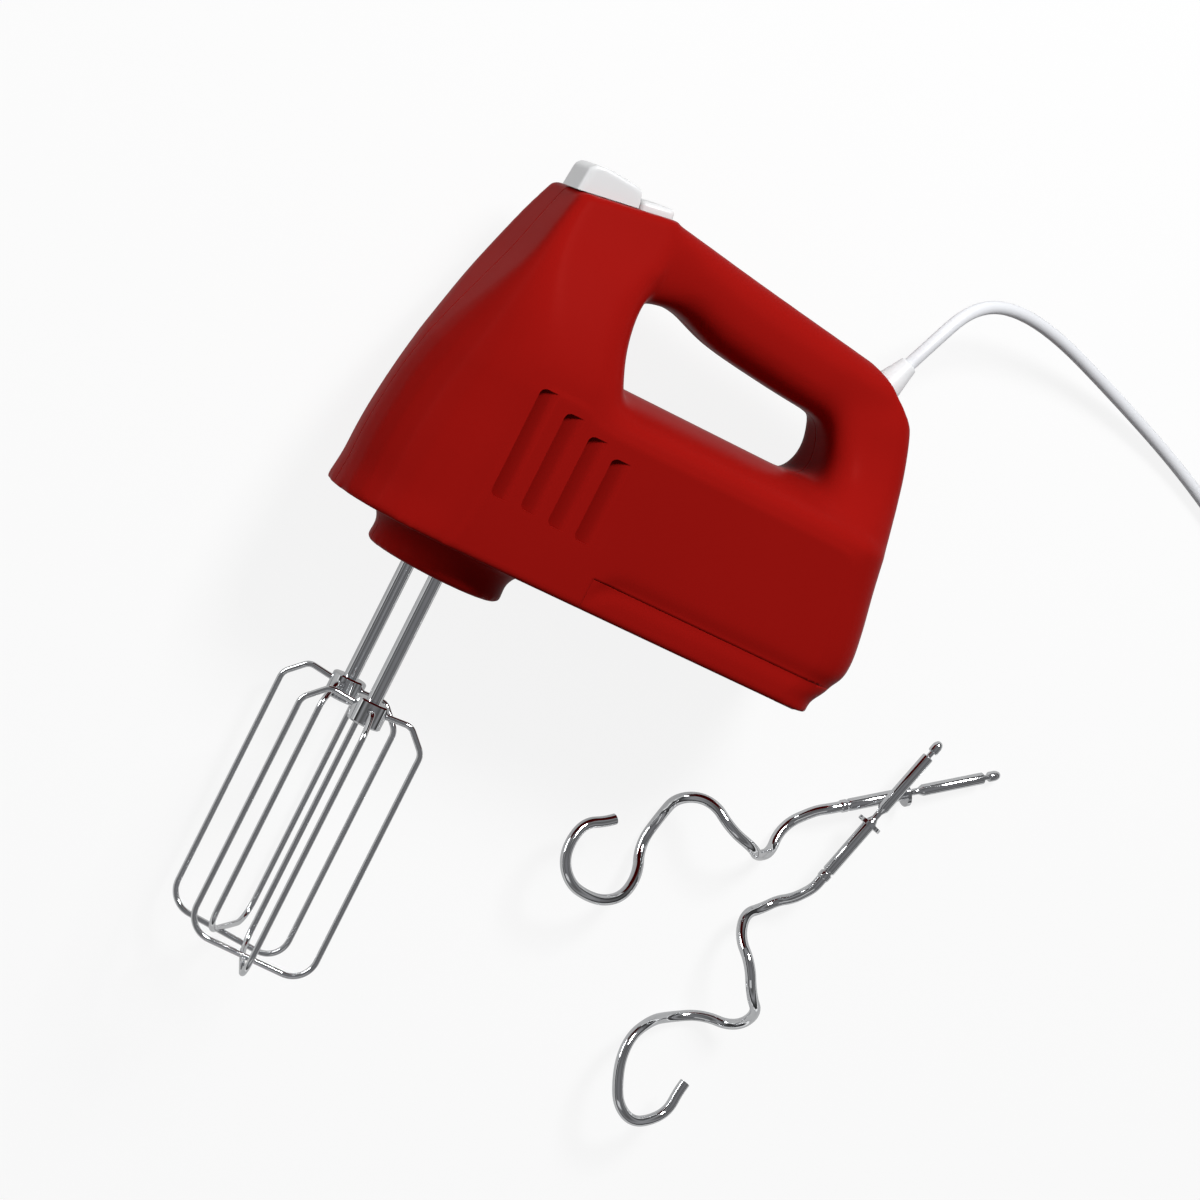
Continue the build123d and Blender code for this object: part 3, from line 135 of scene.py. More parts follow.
class Value:
    """A shader socket that takes part in Python sums and products."""

    def __init__(self, finish, socket):
        self.finish, self.socket = finish, socket

    def math(self, operation, first, second):
        return self.finish.node("ShaderNodeMath", {"operation": operation}, {0: first, 1: second})

    def __add__(self, other):
        return self.math("ADD", self, other)

    def __radd__(self, other):
        return self.math("ADD", other, self)

    def __sub__(self, other):
        return self.math("SUBTRACT", self, other)

    def __rsub__(self, other):
        return self.math("SUBTRACT", other, self)

    def __mul__(self, other):
        return self.math("MULTIPLY", self, other)

    def __rmul__(self, other):
        return self.math("MULTIPLY", other, self)


class Finish:
    """The node tree of one material, or of the world, built through a single method."""

    def __init__(self, owner):
        owner.use_nodes = True
        self.owner, self.tree = owner, owner.node_tree
        self.tree.nodes.clear()

    def node(self, kind, settings=None, sockets=None, output=0):
        made = self.tree.nodes.new(kind)
        for key, value in (settings or {}).items():
            if key == "stops":
                ramp = made.color_ramp
                while len(ramp.elements) < len(value):
                    ramp.elements.new(1.0)
                for element, (position, colour) in zip(ramp.elements, value):
                    element.position, element.color = position, (*colour, 1.0)
            else:
                setattr(made, key, value)
        for key, value in (sockets or {}).items():
            if isinstance(value, Value):
                self.tree.links.new(value.socket, made.inputs[key])
            else:
                made.inputs[key].default_value = value
        if not made.outputs:
            return made
        return Value(self, made.outputs[output])

    def place(self):
        return self.node("ShaderNodeTexCoord", output="Object")

    def ray(self, kind):
        return self.node("ShaderNodeLightPath", output=f"Is {kind} Ray")

    def noise(self, scale, detail=2.0, distortion=0.0):
        sockets = {"Vector": self.place(), "Scale": scale, "Detail": detail, "Distortion": distortion}
        return self.node("ShaderNodeTexNoise", None, sockets)

    def colours(self, mix, first, second):
        sockets = {0: mix, 6: (*first, 1.0), 7: (*second, 1.0)}
        return self.node("ShaderNodeMix", {"data_type": "RGBA"}, sockets, output=2)

    def bump(self, height, distance, strength=1.0, under=None):
        sockets = {"Height": height, "Distance": distance, "Strength": strength}
        if under:
            sockets["Normal"] = under
        return self.node("ShaderNodeBump", None, sockets)

    def close(self, sockets):
        shader = self.node("ShaderNodeBsdfPrincipled", None, sockets)
        self.node("ShaderNodeOutputMaterial", None, {"Surface": shader})
        return self.owner


def finish_named(name):
    return Finish(bpy.data.materials.new(name))


WHITE = (1.0, 1.0, 1.0)


def moulded_plastic(name, dark, light, roughness, gloss=0.5, tint=WHITE, grain=0.00002):
    """Injection-moulded plastic: faint cloudiness, fine grain and slightly smeared gloss."""
    f = finish_named(name)
    cloud = f.noise(16.0, 3.0)
    smear = f.noise(55.0, 4.0, distortion=0.6)
    fine = f.noise(1400.0)
    ripple = f.noise(90.0)
    normal = f.bump(ripple, grain * 1.5, 0.5, f.bump(fine, grain, 0.6))
    return f.close(
        {
            "Base Color": f.colours(cloud, dark, light),
            "Roughness": roughness + (smear - 0.5) * (0.3 * roughness),
            "Normal": normal,
            "IOR": 1.5,
            "Specular IOR Level": gloss,
            "Specular Tint": (*tint, 1.0),
        }
    )


def bright_metal(name, dark, light, roughness):
    """Bare or plated metal with fine scratches and slightly clouded polish."""
    f = finish_named(name)
    cloud = f.noise(120.0, 3.0)
    scratches = f.noise(700.0, 3.0)
    return f.close(
        {
            "Base Color": f.colours(cloud, dark, light),
            "Metallic": 1.0,
            "Roughness": roughness * (0.7 + 0.6 * scratches),
            "Normal": f.bump(scratches, 0.00001, 0.5),
        }
    )


def wound_wire(name, dark, light, per_metre, direction):
    """Enamelled wire lying turn against turn."""
    f = finish_named(name)
    sockets = {"Vector": f.place(), "Scale": per_metre, "Distortion": 0.6, "Detail": 1.0}
    turns = f.node("ShaderNodeTexWave", {"bands_direction": direction}, sockets, output=1)
    cloud = f.noise(60.0)
    return f.close(
        {
            "Base Color": f.colours(turns * (0.6 + 0.4 * cloud), dark, light),
            "Metallic": 0.6,
            "Roughness": 0.5 - 0.2 * turns,
            "Normal": f.bump(turns, 0.0003),
        }
    )


def stacked_sheets(name, dark, light, per_metre):
    """Pressed steel sheets stacked along the motor shaft."""
    f = finish_named(name)
    sockets = {"Vector": f.place(), "Scale": per_metre, "Distortion": 0.2}
    sheets = f.node("ShaderNodeTexWave", {"bands_direction": "X"}, sockets, output=1)
    cloud = f.noise(45.0, 4.0)
    return f.close(
        {
            "Base Color": f.colours(sheets * cloud, dark, light),
            "Metallic": 0.8,
            "Roughness": 0.55 - 0.15 * cloud,
            "Normal": f.bump(sheets, 0.0001),
        }
    )


def pressed_carbon(name, dark, light):
    """Graphite of the motor brushes, with fine specks."""
    f = finish_named(name)
    specks = f.noise(900.0, 4.0)
    return f.close(
        {
            "Base Color": f.colours(specks, dark, light),
            "Roughness": 0.45 + 0.3 * specks,
            "Normal": f.bump(specks, 0.00004),
        }
    )


# Finishes by the part's material slots: darkest and lightest colour, roughness and what else differs
PLASTICS = {
    "red_shell": (
        (0.265, 0.0058, 0.0042), (0.295, 0.0068, 0.0050), 0.30, {"gloss": 0.012, "tint": (1.0, 0.16, 0.13)}
    ),
    "white_control": ((0.68, 0.685, 0.69), (0.73, 0.735, 0.74), 0.34, {"gloss": 0.4}),
    "white_relief": ((0.72, 0.73, 0.74), (0.77, 0.78, 0.79), 0.42, {"gloss": 0.4}),
    "cord_sheath": ((0.70, 0.71, 0.74), (0.77, 0.78, 0.80), 0.40, {"grain": 0.00003}),
    "tie_wire": ((0.70, 0.70, 0.69), (0.77, 0.77, 0.76), 0.45, {}),
    "plug_white": ((0.74, 0.75, 0.77), (0.81, 0.82, 0.83), 0.40, {}),
    "frame_plastic": ((0.055, 0.055, 0.06), (0.085, 0.085, 0.09), 0.5, {}),
    "gear_plastic": ((0.66, 0.63, 0.55), (0.74, 0.71, 0.62), 0.42, {}),
}
METALS = {
    "chrome_tool": ((0.70, 0.71, 0.73), (0.80, 0.81, 0.82), 0.07),
    "pin_metal": ((0.58, 0.57, 0.54), (0.68, 0.67, 0.64), 0.16),
    "steel": ((0.50, 0.51, 0.53), (0.62, 0.63, 0.65), 0.24),
    "bronze": ((0.42, 0.24, 0.11), (0.53, 0.32, 0.15), 0.32),
}
SLOT_FINISH = {}
for slot_name, (dark, light, roughness, others) in PLASTICS.items():
    SLOT_FINISH[slot_name] = moulded_plastic(slot_name, dark, light, roughness, **others)
for slot_name, (dark, light, roughness) in METALS.items():
    SLOT_FINISH[slot_name] = bright_metal(slot_name, dark, light, roughness)
SLOT_FINISH["copper"] = wound_wire("copper", (0.16, 0.045, 0.018), (0.62, 0.23, 0.09), 620.0, "Y")
SLOT_FINISH["lamination"] = stacked_sheets("lamination", (0.10, 0.10, 0.11), (0.34, 0.34, 0.36), 520.0)
SLOT_FINISH["carbon"] = pressed_carbon("carbon", (0.012, 0.012, 0.013), (0.05, 0.05, 0.053))


def dress_cad_nodes():
    """Gives every carried-over CAD node the finish of its slot."""
    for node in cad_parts.values():
        for place in node.material_slots:
            slot = place.material.name.split(".")[0] if place.material else ""
            place.link = "OBJECT"
            place.material = SLOT_FINISH[slot]


# Shading breaks at edges sharper than this, in degrees; ROUND_STEPS is the number of sides of a turned piece
PIECE_EDGE, SHELL_EDGE, SELECTOR_EDGE, SLEEVE_EDGE = 32.0, 48.0, 50.0, 40.0
ROUND_STEPS = 48


def rows_between(rows, steps):
    """Rows on a smooth curve through the given ones, with a number of steps to each gap."""

    def lean(i, column):
        low, high = rows[max(i - 1, 0)], rows[min(i + 1, len(rows) - 1)]
        return (high[column] - low[column]) / (high[0] - low[0])

    filled = []
    for i in range(len(rows) - 1):
        first, second = rows[i], rows[i + 1]
        gap = second[0] - first[0]
        for step in range(steps):
            t = step / steps
            near, far = 1 - 3 * t * t + 2 * t**3, 3 * t * t - 2 * t**3
            leave, reach = t - 2 * t * t + t**3, t**3 - t * t
            row = [first[0] + gap * t]
            for column in range(1, len(first)):
                bend = leave * lean(i, column) + reach * lean(i + 1, column)
                row.append(near * first[column] + far * second[column] + gap * bend)
            filled.append(row)
    return filled + [list(rows[-1])]


def rounded_loop(bm, place, half_length, half_width, front_radius, rear_radius, segments=7):
    """Flat rounded rectangle, set down by a matrix; its face is returned."""
    known = set(bm.faces)
    corners = bmesh.ops.create_grid(bm, x_segments=1, y_segments=1, size=1.0)["verts"]
    front = [v for v in corners if v.co.x < 0]
    rear = [v for v in corners if v.co.x > 0]
    bmesh.ops.scale(bm, vec=(half_length, half_width, 1.0), verts=corners)
    bmesh.ops.transform(bm, matrix=place, verts=corners)
    for ends, radius in ((front, front_radius), (rear, rear_radius)):
        bmesh.ops.bevel(
            bm, geom=ends, offset=radius, offset_type="OFFSET", segments=segments, profile=0.5,
            affect="VERTICES", material=-1,
        )
    return next(face for face in bm.faces if face not in known)


def bridge_faces(bm, faces):
    """Joins a row of flat outlines into a closed body whose ends are the first and last face."""
    for first, second in zip(faces, faces[1:]):
        bmesh.ops.bridge_loops(bm, edges=list(first.edges) + list(second.edges))
    bmesh.ops.delete(bm, geom=faces[1:-1], context="FACES_ONLY")


def soften(bm, edges, radius, segments):
    """Rounds edges over."""
    bmesh.ops.bevel(
        bm, geom=edges, offset=radius, offset_type="OFFSET", segments=segments, profile=0.5,
        affect="EDGES", material=-1, clamp_overlap=True,
    )


def cut_through(bm, place, normal, side=None):
    """Cuts along a plane and takes away what lies on one side of it, if a side is named."""
    whole = bm.verts[:] + bm.edges[:] + bm.faces[:]
    sides = {"clear_inner": side == "inner", "clear_outer": side == "outer"}
    bmesh.ops.bisect_plane(bm, geom=whole, plane_co=place, plane_no=normal, **sides)


def close_holes(bm):
    bmesh.ops.holes_fill(bm, edges=[e for e in bm.edges if e.is_boundary], sides=0)


def smooth_where(bm, passes, chosen):
    for _ in range(passes):
        bmesh.ops.smooth_vert(
            bm, verts=chosen, factor=0.5, use_axis_x=True, use_axis_y=True, use_axis_z=True
        )


def mark_edges(bm, limit):
    """Smooth shading, broken at edges sharper than a limit in degrees."""
    for face in bm.faces:
        face.smooth = True
        face.material_index = 0
    for edge in bm.edges:
        edge.smooth = not (edge.is_manifold and edge.calc_face_angle(0.0) > math.radians(limit))


def bmesh_object(bm, name, *materials):
    mesh = bpy.data.meshes.new(name)
    bm.to_mesh(mesh)
    bm.free()
    for material in materials:
        mesh.materials.append(material)
    made = bpy.data.objects.new(name, mesh)
    scene.collection.objects.link(made)
    return made


def settled(made):
    """Bmesh of an object with its modifiers worked in; the object itself is taken away."""
    bpy.context.view_layer.update()
    depsgraph = bpy.context.evaluated_depsgraph_get()
    mesh = bpy.data.meshes.new_from_object(made.evaluated_get(depsgraph))
    bm = bmesh.new()
    bm.from_mesh(mesh)
    bpy.data.meshes.remove(mesh)
    bpy.data.objects.remove(made)
    return bm


def evenly_meshed(bm, voxel):
    """The same closed form, or several that overlap, as one even mesh."""
    lump = bmesh_object(bm, "lump")
    remesh = lump.modifiers.new("even", "REMESH")
    remesh.mode = "VOXEL"
    remesh.voxel_size = voxel
    return settled(lump)


def add_to(bm, part):
    """Puts a finished part into a bmesh that holds others."""
    mesh = bpy.data.meshes.new("part")
    part.to_mesh(mesh)
    part.free()
    bm.from_mesh(mesh)
    bpy.data.meshes.remove(mesh)


def rounded_block(bm, middle, size, radius, segments=3):
    """Box with every edge rounded over."""
    part = bmesh.new()
    made = bmesh.ops.create_cube(part, size=1.0)["verts"]
    bmesh.ops.scale(part, vec=size, verts=made)
    bmesh.ops.translate(part, vec=middle, verts=made)
    soften(part, part.edges[:], radius, segments)
    add_to(bm, part)


def turned(bm, profile):
    """Turns a line of (height, radius) corners in millimetres once round the local z axis."""
    part = bmesh.new()
    line = [part.verts.new((radius / 1000, 0, height / 1000)) for height, radius in profile]
    edges = [part.edges.new(pair) for pair in zip(line, line[1:])]
    bmesh.ops.spin(
        part, geom=line + edges, cent=(0, 0, 0), axis=(0, 0, 1), dvec=(0, 0, 0), angle=2 * math.pi,
        steps=ROUND_STEPS, use_merge=True, use_duplicate=False,
    )
    bmesh.ops.remove_doubles(part, verts=part.verts[:], dist=1e-7)
    bmesh.ops.recalc_face_normals(part, faces=part.faces[:])
    add_to(bm, part)


def place_piece(bm, name, body, slot, *nodes, place=None, limit=PIECE_EDGE):
    """Finished piece, set down by a matrix, riding on its body in the place of any named nodes."""
    if place:
        bmesh.ops.transform(bm, matrix=place, verts=bm.verts[:])
    mark_edges(bm, limit)
    piece = bmesh_object(bm, name, SLOT_FINISH[slot])
    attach(piece, body)
    if nodes:
        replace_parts(piece, *nodes)
    return piece


# Housing skin: the part's sections, eased to the outline seen and run together into one smooth moulding.
# Level sections in millimetres: height above the base, front, rear, drawn in from the half width, nose and
# rear corner radii.
LOWER_BODY = [
    (-0.8, -2.6, 194.6, 0.0, 37.0, 18.0),
    (4.0, -2.2, 195.0, 0.0, 38.0, 20.0),
    (11.0, -1.7, 201.4, 0.0, 39.0, 22.0),
    (21.0, -1.8, 204.0, 0.0, 40.0, 22.0),
    (34.0, -0.9, 202.4, 0.0, 40.0, 22.0),
    (50.0, 1.1, 198.8, 0.0, 40.0, 22.0),
    (65.0, 4.2, 195.8, 0.0, 38.0, 22.0),
]
SHELF = [
    (64.0, 42.0, 196.2, 0.0, 18.0, 22.0),
    (69.0, 42.0, 195.4, 4.5, 16.0, 20.0),
    (73.5, 42.0, 194.6, 15.0, 14.0, 16.0),
    (77.0, 42.0, 194.0, 30.0, 8.0, 8.0),
]
NOSE_TOWER = [
    (62.0, 3.6, 76.0, 0.0, 38.0, 14.0),
    (74.0, 7.2, 72.0, 1.4, 33.0, 14.0),
    (90.0, 12.8, 66.6, 6.0, 21.0, 13.0),
    (107.0, 18.7, 66.0, 12.5, 10.0, 12.0),
    (122.0, 22.8, 70.5, 19.0, 5.0, 9.0),
    (137.0, 27.5, 69.5, 24.5, 3.0, 5.0),
    (150.0, 32.0, 55.5, 28.5, 3.0, 5.0),
]
REAR_POST = [
    (62.0, 150.0, 196.4, 0.0, 16.0, 22.0),
    (73.0, 159.6, 196.2, 9.0, 14.0, 17.0),
    (85.0, 162.8, 196.0, 18.5, 11.0, 12.5),
    (97.0, 158.6, 194.2, 24.0, 9.0, 10.0),
    (111.0, 151.0, 190.0, 27.5, 8.0, 9.0),
    (124.0, 146.0, 184.0, 32.0, 7.0, 8.0),
]
LEVEL_BODIES = [(LOWER_BODY, 4), (SHELF, 5), (NOSE_TOWER, 5), (REAR_POST, 5)]  # with steps to each gap
CORNER_SHARE = 0.98  # largest corner radius as a share of the half width
# Grip sections: distance from the nose, top and underside above the base, half width, corner radius
GRIP = [
    (58.0, 141.2, 104.0, 20.5, 8.0),
    (70.0, 139.8, 108.6, 20.0, 9.0),
    (84.0, 138.2, 110.8, 18.6, 11.0),
    (104.0, 135.7, 105.2, 17.6, 13.0),
    (130.0, 132.4, 102.0, 17.5, 13.0),
    (154.0, 129.4, 100.0, 17.2, 12.0),
    (182.0, 126.0, 96.5, 14.0, 11.0),
]
GRIP_STEPS = 6
# Collar ovals: height above the base, half length, half width
COLLAR = [
    (-14.4, 27.0, 31.0),
    (-12.0, 26.8, 30.8),
    (-7.0, 26.4, 30.5),
    (-3.0, 28.4, 32.0),
    (2.5, 34.5, 37.0),
]
COLLAR_MIDDLE, COLLAR_STEPS, COLLAR_SIDES = 46.4, 4, 56
SKIN_VOXEL, SKIN_MERGE, SKIN_PASSES = 0.00125, 0.0003, 7
# Where the hand opening's shoulders flow into each other, in millimetres: lowest and highest level above the
# base, nearest and furthest place from the nose, least distance from the mid plane
SHOULDERS = [(60, 97, 58, 180, -1), (97, 119, 60, 92, -1), (97, 119, 146, 174, -1), (119, 134, 66, 84, 12)]
SHOULDER_PASSES = 40
PANEL_NEAR = 0.0004  # what lies no further than this under a side panel is drawn up to it
# Base cover: front end and top, the gap round it, and the soft groove along its top, all below GROOVE_TOP
COVER_FRONT, COVER_TOP, COVER_GAP = 88.0, 11.3, 0.06
GROOVE_BEND, GROOVE_WIDTH, GROOVE_DEPTH = 15.0, 3.8, 0.0010
GROOVE_TOP, GROOVE_LIFT, GROOVE_START = 30.0, 0.5, 2.5
# Louvres: front edge behind the nose, lower and upper end above the base
LOUVRES = [(37.6, 23.0, 65.5), (50.0, 23.0, 61.5), (62.0, 22.0, 57.8), (73.6, 21.5, 54.2)]
LOUVRE_WIDTH, LOUVRE_DEPTH, LOUVRE_CORNER = 0.0094, 0.0046, 0.0024
LOUVRE_PROUD, LOUVRE_RUN_OUT, LOUVRE_STEPS = 0.003, 0.0002, 12
# Openings: opposite corners on the top face, radii of round holes, and both ends of a cutter from its face
SELECTOR_SLOT = ((-0.0084, -0.0093), (0.0004, 0.0093))
EJECT_OPENING = ((0.00845, -0.01135), (0.02295, 0.01135))
GLAND_HOLE, BEATER_SOCKET, SCREW_HOLE = 0.00475, 0.0066, 0.0030
CUT_LOW, CUT_HIGH = -0.005, 0.004
SOCKET_LEVEL = -15.0
SCREWS = [(24.0, 84.0), (88.0, 123.0), (158.0, 112.0), (190.0, 52.0), (189.0, 22.0)]
SCREW_SEAT, SCREW_OUTSIDE = 0.007, 0.002  # screw heads from the mid plane, cutter's end outside the panel
SEAM_GAP = 0.00003
WALL = 0.0024
SKIN_WALL = WALL * 0.92  # slightly thinner than the part's wall


def add_level_body(bm, sections, steps):
    faces = []
    for h, front, rear, drawn_in, nose_radius, rear_radius in rows_between(sections, steps):
        place = sloped_frame((front + rear) / 2, h)
        half_length, half_width = (rear - front) / 2000, HALF_WIDTH - drawn_in / 1000
        nose_radius = min(nose_radius / 1000, half_width * CORNER_SHARE)
        rear_radius = min(rear_radius / 1000, half_width * CORNER_SHARE)
        faces.append(rounded_loop(bm, place, half_length, half_width, nose_radius, rear_radius))
    bridge_faces(bm, faces)


def add_grip(bm):
    faces = []
    for x, top, under, half_width, radius in rows_between(GRIP, GRIP_STEPS):
        place = upright_frame(x, (top + under) / 2)
        half_height, radius = (top - under) / 2000, radius / 1000
        faces.append(rounded_loop(bm, place, half_height, half_width / 1000, radius, radius))
    bridge_faces(bm, faces)


def add_collar(bm):
    faces = []
    for h, half_length, half_width in rows_between(COLLAR, COLLAR_STEPS):
        known = set(bm.faces)
        ring = bmesh.ops.create_circle(bm, cap_ends=True, segments=COLLAR_SIDES, radius=1.0)["verts"]
        bmesh.ops.scale(bm, vec=(half_length / 1000, half_width / 1000, 1.0), verts=ring)
        bmesh.ops.transform(bm, matrix=sloped_frame(COLLAR_MIDDLE, h), verts=ring)
        faces.append(next(face for face in bm.faces if face not in known))
    bridge_faces(bm, faces)


def on_shoulder(point):
    x, h = behind_and_above(point)
    across = abs(point.z - MID_Z) * 1000
    return any(
        low <= h < high and front < x < rear and across > inner
        for low, high, front, rear, inner in SHOULDERS
    )


def flatten_panels(bm):
    """Draws what lies just under the flat side panels up to them."""
    for v in bm.verts:
        side = 1 if v.co.z > MID_Z else -1
        under = HALF_WIDTH - side * (v.co.z - MID_Z)
        if under < PANEL_NEAR:
            v.co.z = MID_Z + side * (HALF_WIDTH - max(under, 0.0) ** 3 / PANEL_NEAR**2)


def outer_form():
    """Whole outer surface of the housing as one smooth closed mesh."""
    bm = bmesh.new()
    for sections, steps in LEVEL_BODIES:
        add_level_body(bm, sections, steps)
    add_grip(bm)
    add_collar(bm)
    for face_frame in (TOP_FACE, GLAND_FACE, HEEL_CORNER):
        cut_through(bm, face_frame.translation, outwards(face_frame), "outer")
        close_holes(bm)
    bmesh.ops.recalc_face_normals(bm, faces=bm.faces[:])
    bm = evenly_meshed(bm, SKIN_VOXEL)
    bmesh.ops.remove_doubles(bm, verts=bm.verts[:], dist=SKIN_MERGE)
    smooth_where(bm, SHOULDER_PASSES, [v for v in bm.verts if on_shoulder(v.co)])
    smooth_where(bm, SKIN_PASSES, bm.verts[:])
    flatten_panels(bm)
    return bm


def press_base_groove(bm):
    """Shallow soft valley along the top of the base cover, turning down to the base at its front end."""
    for v in bm.verts:
        x, h = behind_and_above(v.co)
        run = min((x - COVER_FRONT) / GROOVE_BEND, 1.0)
        if h > GROOVE_TOP or run < 0:
            continue
        middle = (COVER_TOP + GROOVE_LIFT) * math.sqrt(1 - (1 - run) ** 2)
        start = min(GROOVE_START * run, 1.0)
        depth = GROOVE_DEPTH * start * math.exp(-(((h - middle) / GROOVE_WIDTH) ** 2))
        v.co -= v.normal * depth


def box_cutter(bm, place, low, high):
    """Straight-sided cutter, whose floor is marked so that it leaves a hole."""
    made = bmesh.ops.create_cube(bm, size=1.0)["verts"]
    middle = [(a + b) / 2 for a, b in zip(low, high)]
    bmesh.ops.scale(bm, vec=[b - a for a, b in zip(low, high)], verts=made)
    bmesh.ops.translate(bm, vec=middle, verts=made)
    for face in {f for v in made for f in v.link_faces}:
        if abs(face.calc_center_median().z - low[2]) < 1e-7:
            face.material_index = 1
    bmesh.ops.transform(bm, matrix=place, verts=made)


def round_cutter(bm, place, radius, low=CUT_LOW, high=CUT_HIGH):
    """Round cutter, whose floor is marked so that it leaves a hole."""
    made = bmesh.ops.create_cone(
        bm, cap_ends=True, segments=ROUND_STEPS, radius1=radius, radius2=radius, depth=high - low
    )["verts"]
    bmesh.ops.translate(bm, vec=(0, 0, (low + high) / 2), verts=made)
    for face in {f for v in made for f in v.link_faces}:
        if len(face.verts) > 4 and face.calc_center_median().z < (low + high) / 2:
            face.material_index = 1
    bmesh.ops.transform(bm, matrix=place, verts=made)


def louvre_cutter(bm, front, low, high, side):
    """Pocket with rounded front corners, deepest at the front and curving out to nothing at the rear."""
    part = bmesh.new()
    made = bmesh.ops.create_cube(part, size=1.0)["verts"]
    bmesh.ops.scale(part, vec=(LOUVRE_WIDTH, (high - low) / 1000, 2 * LOUVRE_PROUD), verts=made)
    bmesh.ops.translate(part, vec=(LOUVRE_WIDTH / 2, above((low + high) / 2), 0), verts=made)
    corners = []
    for edge in part.edges:
        first, second = (v.co for v in edge.verts)
        if max(first.x, second.x) < 1e-6 and first.z * second.z < 0:
            corners.append(edge)
    soften(part, corners, LOUVRE_CORNER, 6)
    for step in range(1, LOUVRE_STEPS):
        cut_through(part, (LOUVRE_WIDTH * step / LOUVRE_STEPS, 0, 0), (1, 0, 0))
    for v in part.verts:
        if v.co.z < 0:
            fall = (1 - v.co.x / LOUVRE_WIDTH) ** 2
            v.co.z = LOUVRE_RUN_OUT - (LOUVRE_DEPTH + LOUVRE_RUN_OUT) * fall
    panel = Matrix.Translation((along(front), 0, MID_Z + side * HALF_WIDTH))
    bmesh.ops.transform(part, matrix=panel @ Matrix.Diagonal((1, 1, side, 1)), verts=part.verts[:])
    add_to(bm, part)


def cut_openings(bm):
    """Louvres, control openings, cord hole, beater sockets and screw holes."""
    tools = bmesh.new()
    for louvre in LOUVRES:
        for side in (1, -1):
            louvre_cutter(tools, *louvre, side)
    for low, high in (SELECTOR_SLOT, EJECT_OPENING):
        box_cutter(tools, TOP_FACE, (*low, CUT_LOW), (*high, CUT_HIGH))
    round_cutter(tools, GLAND_FACE, GLAND_HOLE)
    for across in (BEATER_SPACING / 2, -BEATER_SPACING / 2):
        place = Matrix.Translation((BEATER_X, above(SOCKET_LEVEL), MID_Z + across))
        round_cutter(tools, place @ Matrix.Rotation(math.pi / 2, 4, "X"), BEATER_SOCKET)
    for x, h in SCREWS:
        place = Matrix.Translation((along(x), above(h), 0.0)) @ Matrix.Rotation(math.pi, 4, "X")
        round_cutter(tools, place, SCREW_HOLE, SCREW_SEAT - MID_Z, SCREW_OUTSIDE)
    bmesh.ops.recalc_face_normals(tools, faces=tools.faces[:])
    # Two slots of one finish: faces cut by a marked floor keep the second and are taken out.
    two_slots = [SLOT_FINISH["red_shell"]] * 2
    cutter = bmesh_object(tools, "cutter", *two_slots)
    body = bmesh_object(bm, "body", *two_slots)
    cut = body.modifiers.new("openings", "BOOLEAN")
    cut.operation, cut.solver = "DIFFERENCE", "EXACT"
    cut.object, cut.material_mode = cutter, "INDEX"
    bm = settled(body)
    bpy.data.objects.remove(cutter)
    bmesh.ops.delete(bm, geom=[f for f in bm.faces if f.material_index == 1], context="FACES")
    return bm


def moulding(skin, name, seam_side):
    """One shell, cut from the skin along the seam and above the base cover, or the base cover itself."""
    bm = skin.copy()
    front, top = COVER_FRONT, COVER_TOP
    if seam_side:
        cut_through(bm, (0, 0, MID_Z + seam_side * SEAM_GAP), (0, 0, seam_side), "inner")
        front, top = COVER_FRONT - COVER_GAP, COVER_TOP + COVER_GAP
    cut_through(bm, (0, above(top), 0), (0, 1, 0))
    cut_through(bm, (along(front), 0, 0), (1, 0, 0))
    others = []
    for face in bm.faces:
        middle = face.calc_center_median()
        covered = middle.y < above(top) and middle.x > along(front)
        if covered == bool(seam_side):
            others.append(face)
    bmesh.ops.delete(bm, geom=others, context="FACES")
    mark_edges(bm, SHELL_EDGE)
    piece = bmesh_object(bm, name, SLOT_FINISH["red_shell"])
    wall = piece.modifiers.new("wall", "SOLIDIFY")
    wall.thickness, wall.offset, wall.use_rim = SKIN_WALL, -1.0, True
    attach(piece, "housing")
    return piece


def make_housing():
    skin = outer_form()
    skin.normal_update()
    press_base_groove(skin)
    skin = cut_openings(skin)
    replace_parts(moulding(skin, "shell_left", 1), "housing_left")
    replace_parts(moulding(skin, "shell_right", -1), "housing_right")
    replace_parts(moulding(skin, "base_tray", 0), "base_cover")
    skin.free()


# Speed selector: side outline on the top face, from below its foot at the front round to the rear; the ribs
# stand on the slope between its fourth and fifth corner
SELECTOR_OUTLINE = [
    (-18.6, -3.0), (-15.6, 8.8), (-13.2, 10.6), (-8.5, 10.6), (4.4, 7.8), (6.9, 6.0), (7.3, -3.0),
]
SLOPE_START, SLOPE_END = SELECTOR_OUTLINE[3], SELECTOR_OUTLINE[4]
SELECTOR_OFFSET, SELECTOR_HALF_WIDTH, SELECTOR_FOOT = -5.0, 10.2, 0.3
SELECTOR_FRONT, SELECTOR_CORNER = -0.015, 0.0050
SELECTOR_VOXEL, SELECTOR_PASSES = 0.0005, 16
RIB_PLACES = (0.28, 0.48, 0.68)  # shares of the slope
RIB_SIZE, RIB_RADIUS, RIB_SINK = (0.0013, 0.0140, 0.0011), 0.0005, 0.2
STEM_PLACE, STEM_LEVEL = -4.0, -3.5
STEM_SIZE, STEM_RADIUS = (0.008, 0.007, 0.008), 0.0004


